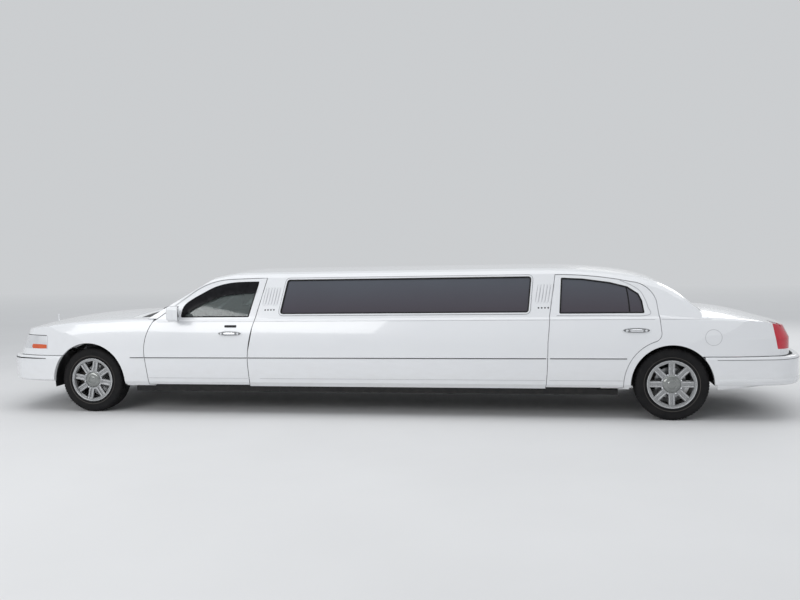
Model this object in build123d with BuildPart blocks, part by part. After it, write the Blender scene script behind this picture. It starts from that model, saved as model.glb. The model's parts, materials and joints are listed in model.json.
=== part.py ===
import math
import os

from build123d import *

os.makedirs("parts", exist_ok=True)

# Frame: X runs from nose to tail, Y across with the left side at minus Y, Z up from the ground.
# The origin is below the middle of the overall box. Lengths are in millimetres.

# Overall sizes
LENGTH = 8460.0
WHEELBASE = 6038.0
FRONT_OVERHANG = 1131.0
FRONT_AXLE_X = -LENGTH / 2 + FRONT_OVERHANG
REAR_AXLE_X = FRONT_AXLE_X + WHEELBASE
NOSE_X = -LENGTH / 2
TAIL_X = LENGTH / 2

# Lower body section
SILL_Z = 300.0
TUCK_Z = 345.0
WIDEST_Z = 606.0
BELT_Z = 1012.0
SILL_HALF = 930.0
TUCK_HALF = 962.0
BODY_HALF = 985.0
SHOULDER_HALF = 940.0
SHOULDER_DROP = 27.0
DECK_HALF = 896.0
CREASE_Z = 783.0

# Upper body section
GLASS_FOOT_HALF = 921.0
TUMBLEHOME = 0.334
RAIL_WIDTH = 84.0
BELT_LAP = 30.0
RAIL_Z = 1424.0
ROOF_CROWN_Z = 1508.0
SCREEN_SLOPE = 1.825

# Thickness of the walls
DOOR_WALL = 70.0
FENDER_WALL = 40.0
FRAME_WALL = 35.0
HOOD_WALL = 26.0
GLASS_INSET = 8.0
GLASS_THICK = 5.0
HIDDEN_INSET = 20.0

# Shut lines
SHUT_GAP = 6.5
SHUT_SKEW = 16.0
SIDE_PLANE = 1010.0

# Wheels
TYRE_RADIUS = 349.0
TYRE_WIDTH = 226.0
AXLE_Z = TYRE_RADIUS
RIM_RADIUS = 234.0
BEAD_RADIUS = 218.5
FRONT_TRACK = 1610.0
REAR_TRACK = 1664.0
FRONT_ARCH_RADIUS = 408.0
REAR_ARCH_RADIUS = 385.0
SPOKES = 8
SPINDLE_RADIUS = 25.0
# The front wheels stopped a little past an upright spoke, the rear ones on it
PARKED_TURNS = {"front": 11.0, "rear": 0.0}

# Bumpers
BUMPER_TOP = 618.0
BUMPER_WALL = 60.0
BUMPER_BOTTOM = 345.0

# Wheel houses
LINER_THICK = 8.0
LINER_INNER = 600.0
LINER_OUTER = 940.0
LINER_LOW_Z = 440.0

# Door hinges
PIN_RADIUS = 5.0
BARREL_RADIUS = 9.0
PIN_CLEARANCE = 0.3
PIN_HALF_WIDTH = 955.0
CLEVIS_PLATE = 8.0
LUG_HEIGHT = 16.0
CLEVIS_GAP = 2.0
PILLAR_HALF_WIDTH = 864.0
PILLAR_DEPTH = 20.0
FRONT_PIN_X = FRONT_AXLE_X + 704.0
REAR_PIN_X = REAR_AXLE_X - 1132.0
HINGE_HEIGHTS = (450.0, 790.0)

# Lid hinges
LID_PIN_SETBACK = 60.0
LID_PIN_DROP = 12.0
LID_PIN_RADIUS = 4.0
LID_BARREL = 8.0
LID_ARM_WIDTH = 16.0
LID_HINGE_HALF = 560.0
LID_SWING_GAP = 5.5
HOOD_REAR_X = FRONT_AXLE_X + 452.0
LID_FRONT_X = REAR_AXLE_X + 330.0


def finish(builder, label):
    """Names a finished piece and writes it."""
    builder.part.label = label
    export_step(builder.part, f"parts/{label}.step")


def skin_half_width(z):
    """Half width of the straight mid-body skin at a height, as straight runs between its corners."""
    corners = [
        (SILL_Z, SILL_HALF),
        (TUCK_Z, TUCK_HALF),
        (WIDEST_Z, BODY_HALF),
        (BELT_Z - SHOULDER_DROP, SHOULDER_HALF),
        (BELT_Z, GLASS_FOOT_HALF),
        (RAIL_Z, GLASS_FOOT_HALF - TUMBLEHOME * (RAIL_Z - BELT_Z)),
    ]
    for (z0, w0), (z1, w1) in zip(corners, corners[1:]):
        if z <= z1:
            return w0 + (w1 - w0) * (z - z0) / (z1 - z0)
    return corners[-1][1]


def on_side(x, z):
    """Where a point of the skin lies on the side plane, seen along the slanted shut lines."""
    return (x + (SIDE_PLANE - skin_half_width(z)) * math.tan(math.radians(SHUT_SKEW)), z)


def lower_section(x, shoulder_z, crown_z, inset):
    """Full cross-section of the body below the glass, moved inward by an inset."""
    bottom = SILL_Z - (20.0 if inset else 0.0)
    shoulder = shoulder_z - inset
    crown = crown_z - inset
    middle_z = (WIDEST_Z + shoulder) / 2
    with BuildSketch(Plane.YZ.offset(x)) as section:
        with BuildLine():
            floor = Line((0, bottom), (inset - SILL_HALF, bottom))
            tuck = Line(floor @ 1, (inset - TUCK_HALF, TUCK_Z))
            flank = ThreePointArc(tuck @ 1, (inset - BODY_HALF + 5, 480), (inset - BODY_HALF, WIDEST_Z))
            side = ThreePointArc(
                flank @ 1, (inset - BODY_HALF + 9, middle_z), (inset - SHOULDER_HALF, shoulder - SHOULDER_DROP)
            )
            turn = Line(side @ 1, (inset - DECK_HALF - 31, shoulder - 8))
            edge = Line(turn @ 1, (inset - DECK_HALF, shoulder))
            ThreePointArc(
                edge @ 1, ((inset - DECK_HALF) / 2, shoulder + 0.76 * (crown - shoulder)), (0, crown)
            )
            mirror(about=Plane.YZ)
        make_face()
    return section.sketch.faces()[0]


def lower_loft(stations, inset):
    """Solid body below the glass through a table of stations: x, shoulder height, crown height.

    Faces deeper than the hidden inset run straight between the stations."""
    with BuildPart() as body:
        for x, shoulder_z, crown_z in stations:
            add(lower_section(x, shoulder_z, crown_z, inset))
        loft(ruled=inset > HIDDEN_INSET)
    return body.part


def nose_plan(inset):
    """Outline of the nose in plan at the bumper's top."""
    front = NOSE_X + 55 + inset
    with BuildSketch(Plane.XY.offset(BUMPER_TOP)) as plan:
        with BuildLine():
            nose = ThreePointArc((front, 0), (front + 22, -350), (front + 85, -620))
            corner = ThreePointArc(nose @ 1, (front + 150, -762 + inset / 2), (front + 250, -852 + inset))
            cheek = ThreePointArc(corner @ 1, (front + 450, -925 + inset), (front + 720, -962 + inset))
            flank = ThreePointArc(cheek @ 1, (front + 1050, -984 + inset), (front + 1500, -1000 + inset))
            back = Line(flank @ 1, (FRONT_AXLE_X + 1400, -1000 + inset))
            Line(back @ 1, (FRONT_AXLE_X + 1400, 0))
            mirror(about=Plane.XZ)
        make_face()
    return plan.sketch.faces()[0]


def nose_block(inset):
    """Block whose front is the nose in plan, upright to the bumper's top, then leaning back."""
    with BuildPart() as block:
        extrude(nose_plan(inset), amount=600, dir=(0.43, 0, 1))
        extrude(nose_plan(inset), amount=400, dir=(0, 0, -1))
    return block.part


def tail_plan(z, inset):
    """Outline of the tail in plan."""
    back_x = TAIL_X - 113 - inset
    with BuildSketch(Plane.XY.offset(z)) as plan:
        with BuildLine():
            tail = ThreePointArc((back_x, 0), (back_x - 12, -330), (back_x - 50, -620))
            corner = ThreePointArc(tail @ 1, (back_x - 95, -780 + inset / 2), (back_x - 190, -872 + inset))
            cheek = ThreePointArc(corner @ 1, (back_x - 420, -936 + inset), (back_x - 800, -972 + inset))
            flank = ThreePointArc(cheek @ 1, (back_x - 1150, -988 + inset), (back_x - 1500, -1000 + inset))
            front = Line(flank @ 1, (REAR_AXLE_X - 1300, -1000 + inset))
            Line(front @ 1, (REAR_AXLE_X - 1300, 0))
            mirror(about=Plane.XZ)
        make_face()
    return plan.sketch.faces()[0]


def tail_block(inset):
    """Block whose back is the tail in plan: upright to the lamp crease, then leaning forward."""
    with BuildPart() as block:
        extrude(tail_plan(CREASE_Z, inset), amount=550, dir=(0, 0, -1))
        extrude(tail_plan(CREASE_Z, inset), amount=300, dir=(-0.5, 0, 1))
    return block.part


# Front stations: x from the front axle, shoulder height, crown height
FRONT_STATIONS = [
    (-1131.0, 800.0, 842.0),
    (-936.0, 852.0, 903.0),
    (-531.0, 936.0, 991.0),
    (-105.0, 984.0, 1032.0),
    (425.0, 1008.0, 1055.0),
    (760.0, 1012.0, 1060.0),
]

# Rear stations: x from the rear axle, shoulder height, crown height
REAR_STATIONS = [
    (-520.0, 1012.0, 1060.0),
    (60.0, 1008.0, 1072.0),
    (486.0, 990.0, 1050.0),
    (860.0, 940.0, 978.0),
    (1120.0, 872.0, 905.0),
    (1291.0, 850.0, 880.0),
]


def front_clip(inset):
    """Solid front body ahead of the doors."""
    with BuildPart() as clip:
        add(lower_loft([(FRONT_AXLE_X + x, s, c) for x, s, c in FRONT_STATIONS], inset))
        add(nose_block(inset), mode=Mode.INTERSECT)
    return clip.part


def rear_clip(inset):
    """Solid rear body behind the rear door."""
    with BuildPart() as clip:
        add(lower_loft([(REAR_AXLE_X + x, s, c) for x, s, c in REAR_STATIONS], inset))
        add(tail_block(inset), mode=Mode.INTERSECT)
    return clip.part


def glass_section(x, rail_z, crown_z, inset):
    """Full cross-section of the cabin above the belt."""
    rail = rail_z - inset * 0.6
    crown = crown_z - inset
    foot = GLASS_FOOT_HALF - inset
    rail_half = foot - TUMBLEHOME * (rail - BELT_Z)
    inner_half = rail_half - RAIL_WIDTH
    knee_z = rail + 0.64 * (crown - rail)
    with BuildSketch(Plane.YZ.offset(x)) as section:
        with BuildLine():
            bottom = Line((0, BELT_Z), (-foot, BELT_Z))
            side = Line(bottom @ 1, (-rail_half, rail))
            gutter = Line(side @ 1, (-rail_half + 0.3 * RAIL_WIDTH, rail + 0.66 * (knee_z - rail)))
            knee = Line(gutter @ 1, (-inner_half, knee_z))
            ThreePointArc(knee @ 1, (-inner_half / 2, knee_z + 0.76 * (crown - knee_z)), (0, crown))
            mirror(about=Plane.YZ)
        make_face()
    return section.sketch.faces()[0]


# Roof stations: x from its axle, rail height, crown height
FRONT_ROOF_STATIONS = [
    (850.0, 1300.0, 1370.0),
    (1260.0, 1356.0, 1432.0),
    (1480.0, 1402.0, 1480.0),
    (1700.0, RAIL_Z, ROOF_CROWN_Z),
]
PILLAR_FOOT_END = 275.0
REAR_ROOF_STATIONS = [
    (-1300.0, RAIL_Z, ROOF_CROWN_Z),
    (-1100.0, 1421.0, 1505.0),
    (-800.0, 1402.0, 1489.0),
    (-500.0, 1364.0, 1458.0),
    (-150.0, 1282.0, 1380.0),
    (60.0, 1178.0, 1268.0),
    (PILLAR_FOOT_END, 1037.0, 1062.0),
]


def windscreen_block(inset):
    """Block whose front is the windscreen: an arc in plan that runs up along the screen's slope."""
    front = FRONT_AXLE_X + 489 + inset * 2.1
    with BuildPart() as block:
        with BuildSketch(Plane.XY.offset(BELT_Z - 12)):
            with BuildLine():
                screen = ThreePointArc((front, 0), (front + 48, -500), (front + 200, -1000))
                back = Line(screen @ 1, (TAIL_X, -1000))
                Line(back @ 1, (TAIL_X, 0))
                mirror(about=Plane.XZ)
            make_face()
        extrude(amount=600 * math.hypot(SCREEN_SLOPE, 1), dir=(SCREEN_SLOPE, 0, 1))
    return block.part


def cabin(inset):
    """Solid cabin above the belt."""
    with BuildPart() as body:
        for x, rail_z, crown_z in FRONT_ROOF_STATIONS:
            add(glass_section(FRONT_AXLE_X + x, rail_z, crown_z, inset))
        loft(ruled=inset > HIDDEN_INSET)
        for x, rail_z, crown_z in REAR_ROOF_STATIONS:
            add(glass_section(REAR_AXLE_X + x, rail_z, crown_z, inset))
        loft(ruled=inset > HIDDEN_INSET)
        start = FRONT_AXLE_X + FRONT_ROOF_STATIONS[-1][0]
        end = REAR_AXLE_X + REAR_ROOF_STATIONS[0][0]
        extrude(glass_section(start, RAIL_Z, ROOF_CROWN_Z, inset), amount=end - start, dir=(1, 0, 0))
        # The cabin's foot ahead of the first roof station
        x, rail_z, crown_z = FRONT_ROOF_STATIONS[0]
        extrude(glass_section(FRONT_AXLE_X + x, rail_z, crown_z, inset), amount=500, dir=(-1, 0, 0))
        add(windscreen_block(inset), mode=Mode.INTERSECT)
    return body.part



def side_prism(outline, grow, deep=True):
    """Prism through the left wall from an outline on the skin, along the slanted shut lines.

    The outline is a function that draws its edges from points of the skin."""
    angle = math.radians(SHUT_SKEW)
    with BuildPart() as prism:
        with BuildSketch(Plane.XZ.offset(SIDE_PLANE)):
            with BuildLine():
                outline()
            make_face()
            if grow:
                offset(amount=grow)
        extrude(amount=480 if deep else 160, dir=(-math.sin(angle), math.cos(angle), 0))
    return prism.part


def front_door_outline():
    f = FRONT_AXLE_X
    low = Line(on_side(f + 678, SILL_Z + 12), on_side(f + 652, 600))
    bulge = ThreePointArc(low @ 1, on_side(f + 664, 820), on_side(f + 742, 980))
    sail = Line(bulge @ 1, on_side(f + 815, 1030))
    pillar = Line(sail @ 1, on_side(f + 1150, 1268))
    rail = ThreePointArc(pillar @ 1, on_side(f + 1340, 1370), on_side(f + 1600, RAIL_Z - 10))
    top = Line(rail @ 1, on_side(f + 1976, RAIL_Z))
    back = Line(top @ 1, on_side(f + 1873, 1005))
    rear = ThreePointArc(back @ 1, on_side(f + 1806, 740), on_side(f + 1795, 539))
    foot = Line(rear @ 1, on_side(f + 1802, SILL_Z + 12))
    Line(foot @ 1, low @ 0)


def front_window_outline():
    f = FRONT_AXLE_X
    FilletPolyline(
        on_side(f + 1050, 1022),
        on_side(f + 1092, 1164),
        on_side(f + 1303, 1289),
        on_side(f + 1450, 1351),
        on_side(f + 1632, 1381),
        on_side(f + 1891, 1386),
        on_side(f + 1801, 1022),
        radius=14,
        close=True,
    )


def rear_door_outline():
    r = REAR_AXLE_X
    low = Line(on_side(r - 1195, SILL_Z + 12), on_side(r - 1172, 760))
    front = Line(low @ 1, on_side(r - 1150, 1005))
    post = Line(front @ 1, on_side(r - 1090, RAIL_Z - 8))
    rail = ThreePointArc(post @ 1, on_side(r - 700, 1393), on_side(r - 355, 1336))
    corner = ThreePointArc(rail @ 1, on_side(r - 196, 1258), on_side(r - 134, 1147))
    back = Line(corner @ 1, on_side(r - 104, 872))
    elbow = ThreePointArc(back @ 1, on_side(r - 112, 806), on_side(r - 168, 764))
    arch = ThreePointArc(elbow @ 1, on_side(r - 350, 632), on_side(r - 456, SILL_Z + 12))
    Line(arch @ 1, low @ 0)


def rear_window_outline():
    r = REAR_AXLE_X
    FilletPolyline(
        on_side(r - 1056, 1036),
        on_side(r - 1034, 1386),
        on_side(r - 824, 1374),
        on_side(r - 569, 1337),
        on_side(r - 402, 1293),
        on_side(r - 300, 1225),
        on_side(r - 267, 1155),
        on_side(r - 249, 1036),
        radius=14,
        close=True,
    )


def stretch_window_outline():
    f = FRONT_AXLE_X
    r = REAR_AXLE_X
    FilletPolyline(
        on_side(f + 2134, 1050),
        on_side(f + 2198, 1402),
        on_side(r - 1320, 1402),
        on_side(r - 1353, 1050),
        radius=34,
        close=True,
    )


def slab(x0, x1, y0, y1, z0, z1):
    """Plain block between six planes."""
    with BuildPart() as block:
        with BuildSketch(Plane.XY.offset(z0)):
            with Locations(((x0 + x1) / 2, (y0 + y1) / 2)):
                Rectangle(x1 - x0, y1 - y0)
        extrude(amount=z1 - z0)
    return block.part


def rod_y(x, z, radius, y0, y1):
    """Round bar across the body."""
    with BuildPart() as bar:
        with BuildSketch(Plane.XZ.offset(-y0)):
            with Locations((x, z)):
                Circle(radius)
        extrude(amount=y0 - y1)
    return bar.part


def rod_x(x0, x1, y, z, radius):
    """Round bar along the body."""
    with BuildPart() as bar:
        with BuildSketch(Plane.YZ.offset(x0)):
            with Locations((y, z)):
                Circle(radius)
        extrude(amount=x1 - x0)
    return bar.part


def mirrored(shape):
    """The same shape on the right side."""
    return shape.mirror(Plane.XZ)



def rounded_slab(x0, x1, y0, y1, z0, z1, radius):
    """Block with rounded upright edges."""
    with BuildPart() as block:
        with BuildSketch(Plane.XY.offset(z0)):
            with Locations(((x0 + x1) / 2, (y0 + y1) / 2)):
                RectangleRounded(x1 - x0, y1 - y0, radius)
        extrude(amount=z1 - z0)
    return block.part


# Shells that the panels are cut from
front_outer = front_clip(0)
rear_outer = rear_clip(0)
cabin_outer = cabin(0)
door_prism = side_prism(front_door_outline, -SHUT_GAP / 2)
door_hole = side_prism(front_door_outline, SHUT_GAP / 2)
rear_door_prism = side_prism(rear_door_outline, -SHUT_GAP / 2)
rear_door_hole = side_prism(rear_door_outline, SHUT_GAP / 2)

with BuildPart() as front_shell:
    add(front_outer)
    add(front_clip(FENDER_WALL), mode=Mode.SUBTRACT)
    add(cabin_outer, mode=Mode.SUBTRACT)
    add(slab(-LENGTH, LENGTH, -BODY_HALF, BODY_HALF, 0, SILL_Z), mode=Mode.SUBTRACT)

with BuildPart() as rear_shell:
    add(rear_outer)
    add(rear_clip(FENDER_WALL), mode=Mode.SUBTRACT)
    add(cabin_outer, mode=Mode.SUBTRACT)

with BuildPart() as cabin_shell:
    add(cabin_outer)
    add(cabin(FRAME_WALL), mode=Mode.SUBTRACT)

# Straight walls of the left side, below and above the belt
WALL_START = FRONT_AXLE_X + 600.0
WALL_LENGTH = WHEELBASE - 650.0


def upper_wall_section(x, outer, inner, foot_z=BELT_Z, top_z=RAIL_Z):
    """Slanted strip between two insets from the side glass plane."""
    foot = GLASS_FOOT_HALF - TUMBLEHOME * (foot_z - BELT_Z)
    top = GLASS_FOOT_HALF - TUMBLEHOME * (top_z - BELT_Z)
    with BuildSketch(Plane.YZ.offset(x)) as strip:
        with BuildLine():
            Polyline(
                (outer - foot, foot_z),
                (outer - top, top_z),
                (inner - top, top_z),
                (inner - foot, foot_z),
                close=True,
            )
        make_face()
    return strip.sketch.faces()[0]


with BuildPart() as lower_wall:
    extrude(lower_section(WALL_START, BELT_Z, BELT_Z + 48, 0), amount=WALL_LENGTH, dir=(1, 0, 0))
    inner_half = BODY_HALF - DOOR_WALL
    add(slab(-LENGTH, LENGTH, -inner_half, 2 * BODY_HALF, 0, BELT_Z + 100), mode=Mode.SUBTRACT)
    add(slab(-LENGTH, LENGTH, -BODY_HALF - 10, 0, BELT_Z, BELT_Z + 100), mode=Mode.SUBTRACT)

with BuildPart() as upper_wall:
    wall_face = upper_wall_section(WALL_START, 0, FRAME_WALL, BELT_Z - BELT_LAP)
    extrude(wall_face, amount=WALL_LENGTH, dir=(1, 0, 0))

with BuildPart() as side_wall:
    add(lower_wall.part)
    add(upper_wall.part)

# Room that the doors' upper frames take out of the roof and pillars
with BuildPart() as frame_room:
    extrude(upper_wall_section(WALL_START, -100, FRAME_WALL + SHUT_GAP), amount=WALL_LENGTH, dir=(1, 0, 0))


def hinge_pocket(pin_x, z):
    """Room in a door round one hinge, open to the front and the inside."""
    half = LUG_HEIGHT / 2 + CLEVIS_GAP + CLEVIS_PLATE + 5
    outer = PIN_HALF_WIDTH + BARREL_RADIUS + 2
    return slab(pin_x - 90, pin_x + 52, -outer, -PILLAR_HALF_WIDTH, z - half, z + half)


def hinge_lug(pin_x, z):
    """Door's half of a hinge: a barrel on a flat lug."""
    with BuildPart() as lug:
        with BuildSketch(Plane.XY.offset(z - LUG_HEIGHT / 2)):
            with Locations((pin_x, -PIN_HALF_WIDTH)):
                Circle(BARREL_RADIUS)
            with Locations((pin_x + 31, -PIN_HALF_WIDTH)):
                Rectangle(62, 2 * BARREL_RADIUS)
            with Locations((pin_x, -PIN_HALF_WIDTH)):
                Circle(PIN_RADIUS + PIN_CLEARANCE, mode=Mode.SUBTRACT)
        extrude(amount=LUG_HEIGHT)
    return lug.part


def hinge_clevis(pin_x, z):
    """Pillar's half of a hinge: two plates and the pin."""
    reach = PIN_HALF_WIDTH - PILLAR_HALF_WIDTH
    half = LUG_HEIGHT / 2 + CLEVIS_GAP
    with BuildPart() as clevis:
        for z_low in (z - half - CLEVIS_PLATE, z + half):
            with BuildSketch(Plane.XY.offset(z_low)):
                with Locations((pin_x, -PIN_HALF_WIDTH)):
                    Circle(BARREL_RADIUS)
                with Locations((pin_x, -PIN_HALF_WIDTH + reach / 2)):
                    Rectangle(2 * BARREL_RADIUS, reach)
            extrude(amount=CLEVIS_PLATE)
        with BuildSketch(Plane.XY.offset(z - half - CLEVIS_PLATE)):
            with Locations((pin_x, -PIN_HALF_WIDTH)):
                Circle(PIN_RADIUS)
        extrude(amount=2 * (half + CLEVIS_PLATE))
    return clevis.part


def door_handle(x, z):
    """Pull handle: a bar on two feet that stand on the skin."""
    half_width = skin_half_width(z) + 3
    with BuildPart() as handle:
        with BuildSketch(Plane.XZ.offset(half_width + 26)):
            with Locations((x, z)):
                RectangleRounded(200, 26, 12)
        extrude(amount=-14)
        for foot_x in (x - 80, x + 80):
            with BuildSketch(Plane.XZ.offset(half_width + 20)):
                with Locations((foot_x, z)):
                    RectangleRounded(34, 24, 10)
            extrude(amount=-40)
    return handle.part


# Front door, left
MIRROR_X = FRONT_AXLE_X + 1016.0
MIRROR_Z = 1074.0
with BuildPart() as front_door:
    add(side_wall.part)
    add(door_prism, mode=Mode.INTERSECT)
    add(side_prism(front_window_outline, 0), mode=Mode.SUBTRACT)
    for height in HINGE_HEIGHTS:
        add(hinge_pocket(FRONT_PIN_X, height), mode=Mode.SUBTRACT)
    for height in HINGE_HEIGHTS:
        add(hinge_lug(FRONT_PIN_X, height))
    add(door_handle(FRONT_AXLE_X + 1606, 855))
    # Mirror housing on its sail plate
    with BuildSketch(Plane.YZ.offset(MIRROR_X - 42)):
        with Locations((-1034, MIRROR_Z)):
            RectangleRounded(170, 156, 38)
    extrude(amount=72)
    chamfer(front_door.edges().filter_by_position(Axis.X, MIRROR_X - 42.1, MIRROR_X - 41.9), length=16)
    add(slab(MIRROR_X - 20, MIRROR_X + 18, -975, -880, MIRROR_Z - 30, MIRROR_Z + 20))
finish(front_door, "door_front_left")

# Rear door, left
with BuildPart() as rear_door:
    add(side_wall.part)
    add(rear_door_prism, mode=Mode.INTERSECT)
    add(side_prism(rear_window_outline, 0), mode=Mode.SUBTRACT)
    for height in HINGE_HEIGHTS:
        add(hinge_pocket(REAR_PIN_X, height), mode=Mode.SUBTRACT)
    for height in HINGE_HEIGHTS:
        add(hinge_lug(REAR_PIN_X, height))
    add(door_handle(REAR_AXLE_X - 331, 874))
finish(rear_door, "door_rear_left")

with BuildPart() as front_door_right:
    add(mirrored(front_door.part))
finish(front_door_right, "door_front_right")
with BuildPart() as rear_door_right:
    add(mirrored(rear_door.part))
finish(rear_door_right, "door_rear_right")

# Side glass
with BuildPart() as side_pane:
    inner = GLASS_INSET + GLASS_THICK
    extrude(upper_wall_section(WALL_START, GLASS_INSET, inner), amount=WALL_LENGTH, dir=(1, 0, 0))


def pane(outline):
    """Flat pane of side glass that fills a window."""
    with BuildPart() as glass:
        add(side_pane.part)
        add(side_prism(outline, 0), mode=Mode.INTERSECT)
    return glass.part


for label, outline in (("glass_front", front_window_outline), ("glass_rear", rear_window_outline)):
    with BuildPart() as left_glass:
        add(pane(outline))
    finish(left_glass, f"{label}_left")
    with BuildPart() as right_glass:
        add(mirrored(left_glass.part))
    finish(right_glass, f"{label}_right")

# Stretch panel, left: wall, window frame and the rear door's hinge post
def stretch_outline():
    f = FRONT_AXLE_X
    r = REAR_AXLE_X
    Polyline(
        on_side(f + 1806, SILL_Z),
        on_side(f + 1780, SILL_Z + 40),
        on_side(f + 1780, 560),
        on_side(f + 1860, 1005),
        on_side(f + 1960, RAIL_Z),
        on_side(r - 1094, RAIL_Z),
        on_side(r - 1140, 1005),
        on_side(r - 1165, 760),
        on_side(r - 1180, SILL_Z + 40),
        on_side(r - 1198, SILL_Z),
        close=True,
    )


stretch_room = side_prism(stretch_outline, 0)
with BuildPart() as stretch_panel:
    add(side_wall.part)
    add(stretch_room, mode=Mode.INTERSECT)
    add(door_hole, mode=Mode.SUBTRACT)
    add(rear_door_hole, mode=Mode.SUBTRACT)
    add(side_prism(stretch_window_outline, 0), mode=Mode.SUBTRACT)
    post_end = REAR_PIN_X - 85
    add(slab(post_end - 45, post_end, DOOR_WALL - BODY_HALF, PILLAR_DEPTH - PILLAR_HALF_WIDTH, 330, 1000))
    add(slab(post_end, REAR_PIN_X + 20, -PILLAR_HALF_WIDTH, PILLAR_DEPTH - PILLAR_HALF_WIDTH, 330, 1000))
    for height in HINGE_HEIGHTS:
        add(hinge_clevis(REAR_PIN_X, height))
with BuildPart() as stretch_panels:
    add(stretch_panel.part)
    add(mirrored(stretch_panel.part))
finish(stretch_panels, "stretch_panels")

# Roof with its screen pillars
SCREEN_FOOT = [(-700, 1070), (-560, 1372), (560, 1372), (700, 1070)]
QUARTER_X = REAR_AXLE_X - 250.0
REAR_GLASS = [(REAR_AXLE_X - 150, 500), (REAR_AXLE_X + 196, 610)]
with BuildPart() as screen_hole:
    with BuildSketch(Plane.YZ.offset(-LENGTH / 2)):
        with BuildLine():
            FilletPolyline(*SCREEN_FOOT, radius=40, close=True)
        make_face()
    extrude(amount=LENGTH / 2 - 1000)

with BuildPart() as rear_glass_hole:
    (x_top, half_top), (x_foot, half_foot) = REAR_GLASS
    with BuildSketch(Plane.XY.offset(BELT_Z + 20)):
        with BuildLine():
            corners = [(x_top, -half_top), (x_foot, -half_foot), (x_foot, half_foot), (x_top, half_top)]
            FilletPolyline(*corners, radius=40, close=True)
        make_face()
    extrude(amount=500)

with BuildPart() as door_room:
    add(door_hole)
    add(rear_door_hole)
    add(stretch_room)
    add(frame_room.part, mode=Mode.INTERSECT)

# The lengthened roof ends at a joint, where the rear roof of the first body begins
ROOF_JOINT_X = REAR_AXLE_X - 720.0
with BuildPart() as whole_roof:
    add(cabin_shell.part)
    add(slab(QUARTER_X, LENGTH, -1000, 1000, 900, 1600), mode=Mode.SUBTRACT)
    add(screen_hole.part, mode=Mode.SUBTRACT)
    add(rear_glass_hole.part, mode=Mode.SUBTRACT)
    add(door_room.part, mode=Mode.SUBTRACT)
    add(mirrored(door_room.part), mode=Mode.SUBTRACT)
with BuildPart() as roof_panel:
    add(whole_roof.part)
    add(slab(ROOF_JOINT_X, LENGTH, -BODY_HALF, BODY_HALF, 900, 1600), mode=Mode.SUBTRACT)
finish(roof_panel, "roof_panel")
with BuildPart() as rear_roof:
    add(whole_roof.part)
    add(slab(-LENGTH, ROOF_JOINT_X, -BODY_HALF, BODY_HALF, 900, 1600), mode=Mode.SUBTRACT)
finish(rear_roof, "rear_roof")

# Panes of the screen and rear window
with BuildPart() as screen_pane:
    add(windscreen_block(GLASS_INSET))
    add(windscreen_block(GLASS_INSET + GLASS_THICK), mode=Mode.SUBTRACT)
    add(screen_hole.part, mode=Mode.INTERSECT)

with BuildPart() as rear_pane:
    add(cabin(GLASS_INSET))
    add(cabin(GLASS_INSET + GLASS_THICK), mode=Mode.SUBTRACT)
    add(rear_glass_hole.part, mode=Mode.INTERSECT)
with BuildPart() as fixed_glass:
    add(screen_pane.part)
    add(rear_pane.part)
    add(pane(stretch_window_outline))
    add(mirrored(pane(stretch_window_outline)))
finish(fixed_glass, "fixed_glass")


def plan_prism(points, z, height, radius, grow=0.0):
    """Upright prism from a closed outline in plan, given by its left half."""
    with BuildPart() as prism:
        with BuildSketch(Plane.XY.offset(z)):
            with BuildLine():
                full = points + [(x, -y) for x, y in reversed(points)]
                FilletPolyline(*full, radius=radius, close=True)
            make_face()
            if grow:
                offset(amount=grow)
        extrude(amount=height)
    return prism.part


def arch(axle_x, radius):
    """Room for a pair of wheels, right across the body."""
    return rod_y(axle_x, AXLE_Z, radius, -1100, 1100)


def wheel_houses(axle_x, radius, inner):
    """Room for a pair of wheels, from an inner half width outward."""
    with BuildPart() as houses:
        add(rod_y(axle_x, AXLE_Z, radius, -1100, -inner))
        add(rod_y(axle_x, AXLE_Z, radius, inner, 1100))
    return houses.part


def swing_room(pin_x, pin_z, x0, x1):
    """Room above a lid's pins that the lid's hinged edge swings through."""
    with BuildPart() as room:
        add(rod_y(pin_x, pin_z, LID_PIN_SETBACK + 40, -900, 900))
        add(rod_y(pin_x, pin_z, LID_PIN_SETBACK - LID_SWING_GAP, -901, 901), mode=Mode.SUBTRACT)
        add(slab(x0, x1, -900, 900, pin_z, pin_z + 120), mode=Mode.INTERSECT)
    return room.part


# Hood and trunk lid outlines, left half in plan
HOOD_OUTLINE = [
    (HOOD_REAR_X, -800),
    (FRONT_AXLE_X - 760, -676),
    (FRONT_AXLE_X - 866, -600),
    (FRONT_AXLE_X - 925, -200),
]
LID_OUTLINE = [
    (LID_FRONT_X, -700),
    (REAR_AXLE_X + 900, -650),
    (TAIL_X + 100, -645),
]
LID_BOTTOM = 632.0
hood_hole = plan_prism(HOOD_OUTLINE, 700, 500, 30, SHUT_GAP)
hood_prism = plan_prism(HOOD_OUTLINE, 700, 500, 30)
lid_prism = plan_prism(LID_OUTLINE, LID_BOTTOM, 600, 30)
lid_hole = plan_prism(LID_OUTLINE, LID_BOTTOM - SHUT_GAP, 620, 30, SHUT_GAP)
COWL_HALF = 806.0


def lid_arm(front_x, z, side, reach):
    """Arm under a lid's hinged edge, with the barrel at its end."""
    with BuildPart() as arm:
        with BuildSketch(Plane.XZ.offset(-side * LID_HINGE_HALF + LID_ARM_WIDTH / 2)):
            with Locations((front_x, z)):
                Circle(LID_BARREL)
            with Locations((front_x + reach / 2, z - 2)):
                Rectangle(abs(reach), 2 * LID_BARREL - 4)
            with Locations((front_x, z)):
                Circle(LID_PIN_RADIUS + PIN_CLEARANCE, mode=Mode.SUBTRACT)
        extrude(amount=-LID_ARM_WIDTH)
    return arm.part


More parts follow.
